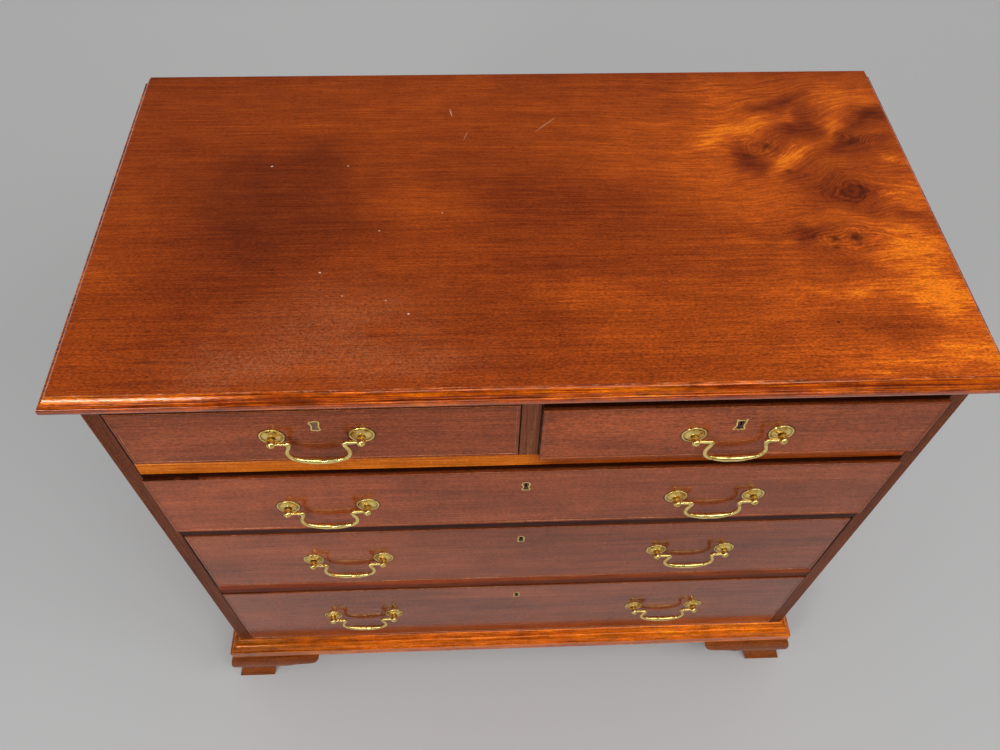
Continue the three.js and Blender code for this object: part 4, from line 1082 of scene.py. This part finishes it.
# Outlines from the top to the right and down, in mm from the middle of the thread: halves, and
# one whole outline that leans.
leaning = [
    (-1.4, 8.4), (2.1, 8.5), (4.9, 7.8), (5.1, 4.5), (4.4, 0.2), (4.4, -3.4), (4.9, -6.9),
    (2.9, -8.5), (-0.7, -8.1), (-3.5, -7.6), (-3.5, -4.5), (-3.1, -0.8), (-3.4, 2.3),
    (-4.6, 4.4), (-4.4, 6.9),
]
eared = [
    (0, 8.4), (2.6, 8.2), (5.2, 10.4), (4.7, 7.0), (4.9, 3.6), (4.0, 0.4), (4.0, -2.4),
    (5.4, -6.2), (5.6, -8.8), (3.3, -8.7), (1.7, -8.0), (0, -9.6),
]
round_foot = [(0, 8.6), (2.9, 7.9), (4.3, 5.2), (4.0, 2.0), (3.1, -0.4), (3.3, -3.4),
              (4.4, -6.6), (3.9, -8.6), (2.0, -9.1), (0, -8.9)]
long_sides = [(0, 8.2), (2.3, 7.8), (3.5, 6.2), (3.7, 3), (3.7, -3), (3.7, -6), (3.1, -7.7),
              (0, -8.2)]
thread_of = dict(zip(drawer_names, (leaning, eared, round_foot, long_sides, long_sides)))
key_drop, thread_drop, plugged_aside, plugged_up = 30, 4.6, -3.6, 5.3
plug_ends = (0.4, -0.06)


def full_outline(points, steps=6):
    """A smooth closed curve in x and z through the points, and through their mirror image where
    they begin on the middle line."""
    loop = np.array(points)
    if loop[0, 0] == 0:
        loop = np.vstack([loop, loop[-2:0:-1] * (-1, 1)])
    curve = smooth_through(np.vstack([loop[-2:], loop, loop[:3]]), steps)
    return curve[2 * steps:(2 + len(loop)) * steps] * mm


def thread(name, outline, x, y, z, body):
    """A flat brass ribbon on edge: an oblong section carried round the outline."""
    way = np.roll(outline, -1, 0) - np.roll(outline, 1, 0)
    way /= np.linalg.norm(way, axis=1)[:, None]
    side = np.stack([way[:, 1], -way[:, 0]], -1)
    section = np.array([(-1, 0.4), (-1, -0.7), (-0.6, -1), (0.6, -1), (1, -0.7), (1, 0.4)])
    section = section * (thread_wide * mm, thread_proud * mm)
    plan = outline[:, None] + side[:, None] * section[None, :, :1]
    rise = np.broadcast_to(section[None, :, 1], plan.shape[:2])
    ring = np.stack([plan[..., 0] + x, rise + y, plan[..., 1] + z], -1)
    faces = grid_faces(*ring.shape[:2], wrap_rows=True, wrap_columns=True)
    finish_piece(closed_mesh(name, ring, faces), name, body, [brass])


plug_stops = [(0, "#4a2612"), (1, "#a06a34"), (0.5, "#6f4220")]
plug_wood = french_polish("polished wood plug", plug_stops, "z")
for drawer in drawer_names:
    low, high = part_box(drawer + "_front")
    x, y, z = (low.x + high.x) / 2, posts_of(drawer)[0][1], high.z - (key_drop + thread_drop) * mm
    outline, plugged = full_outline(thread_of[drawer]), drawer == "short_left"
    if plugged:
        x, z = x + plugged_aside * mm, z + plugged_up * mm
    thread(drawer + "_thread", outline, x, y, z, drawer + "_drawer")
    if plugged:
        rings = [np.insert(outline + (x, z), 1, y + deep * mm, 1) for deep in plug_ends]
        finish_piece(capped_rings("short_left_plug", rings), "short_left_plug",
                     "short_left_drawer", [plug_wood])

iron_stops = [(0.3, "#2b2724"), (0.75, "#6b4a33"), (0.55, "#4a4542")]
iron, tree, place = material_tree("blackened wrought iron")
# Hammered sheet iron, brown-black with old oil and a little rust.
scale_marks = add(tree, "TexNoise", place, Scale=120, Detail=6, Roughness=0.65)
skin = add(tree, "BsdfPrincipled", Metallic=0.85,
           Base_Color=add(tree, "ValToRGB", scale_marks, stops=iron_stops),
           Roughness=add(tree, "MapRange", scale_marks, 0.3, 0.7, 0.38, 0.7),
           Normal=add(tree, "Bump", Strength=0.5, Distance=0.2 * mm, Height=scale_marks))
add(tree, "OutputMaterial", skin, give=None)
for drawer in drawer_names[1:]:
    eased_copy(drawer + "_lock", [iron], joint_ease)
    eased_copy(drawer + "_lock_bolt", [brass], joint_ease)
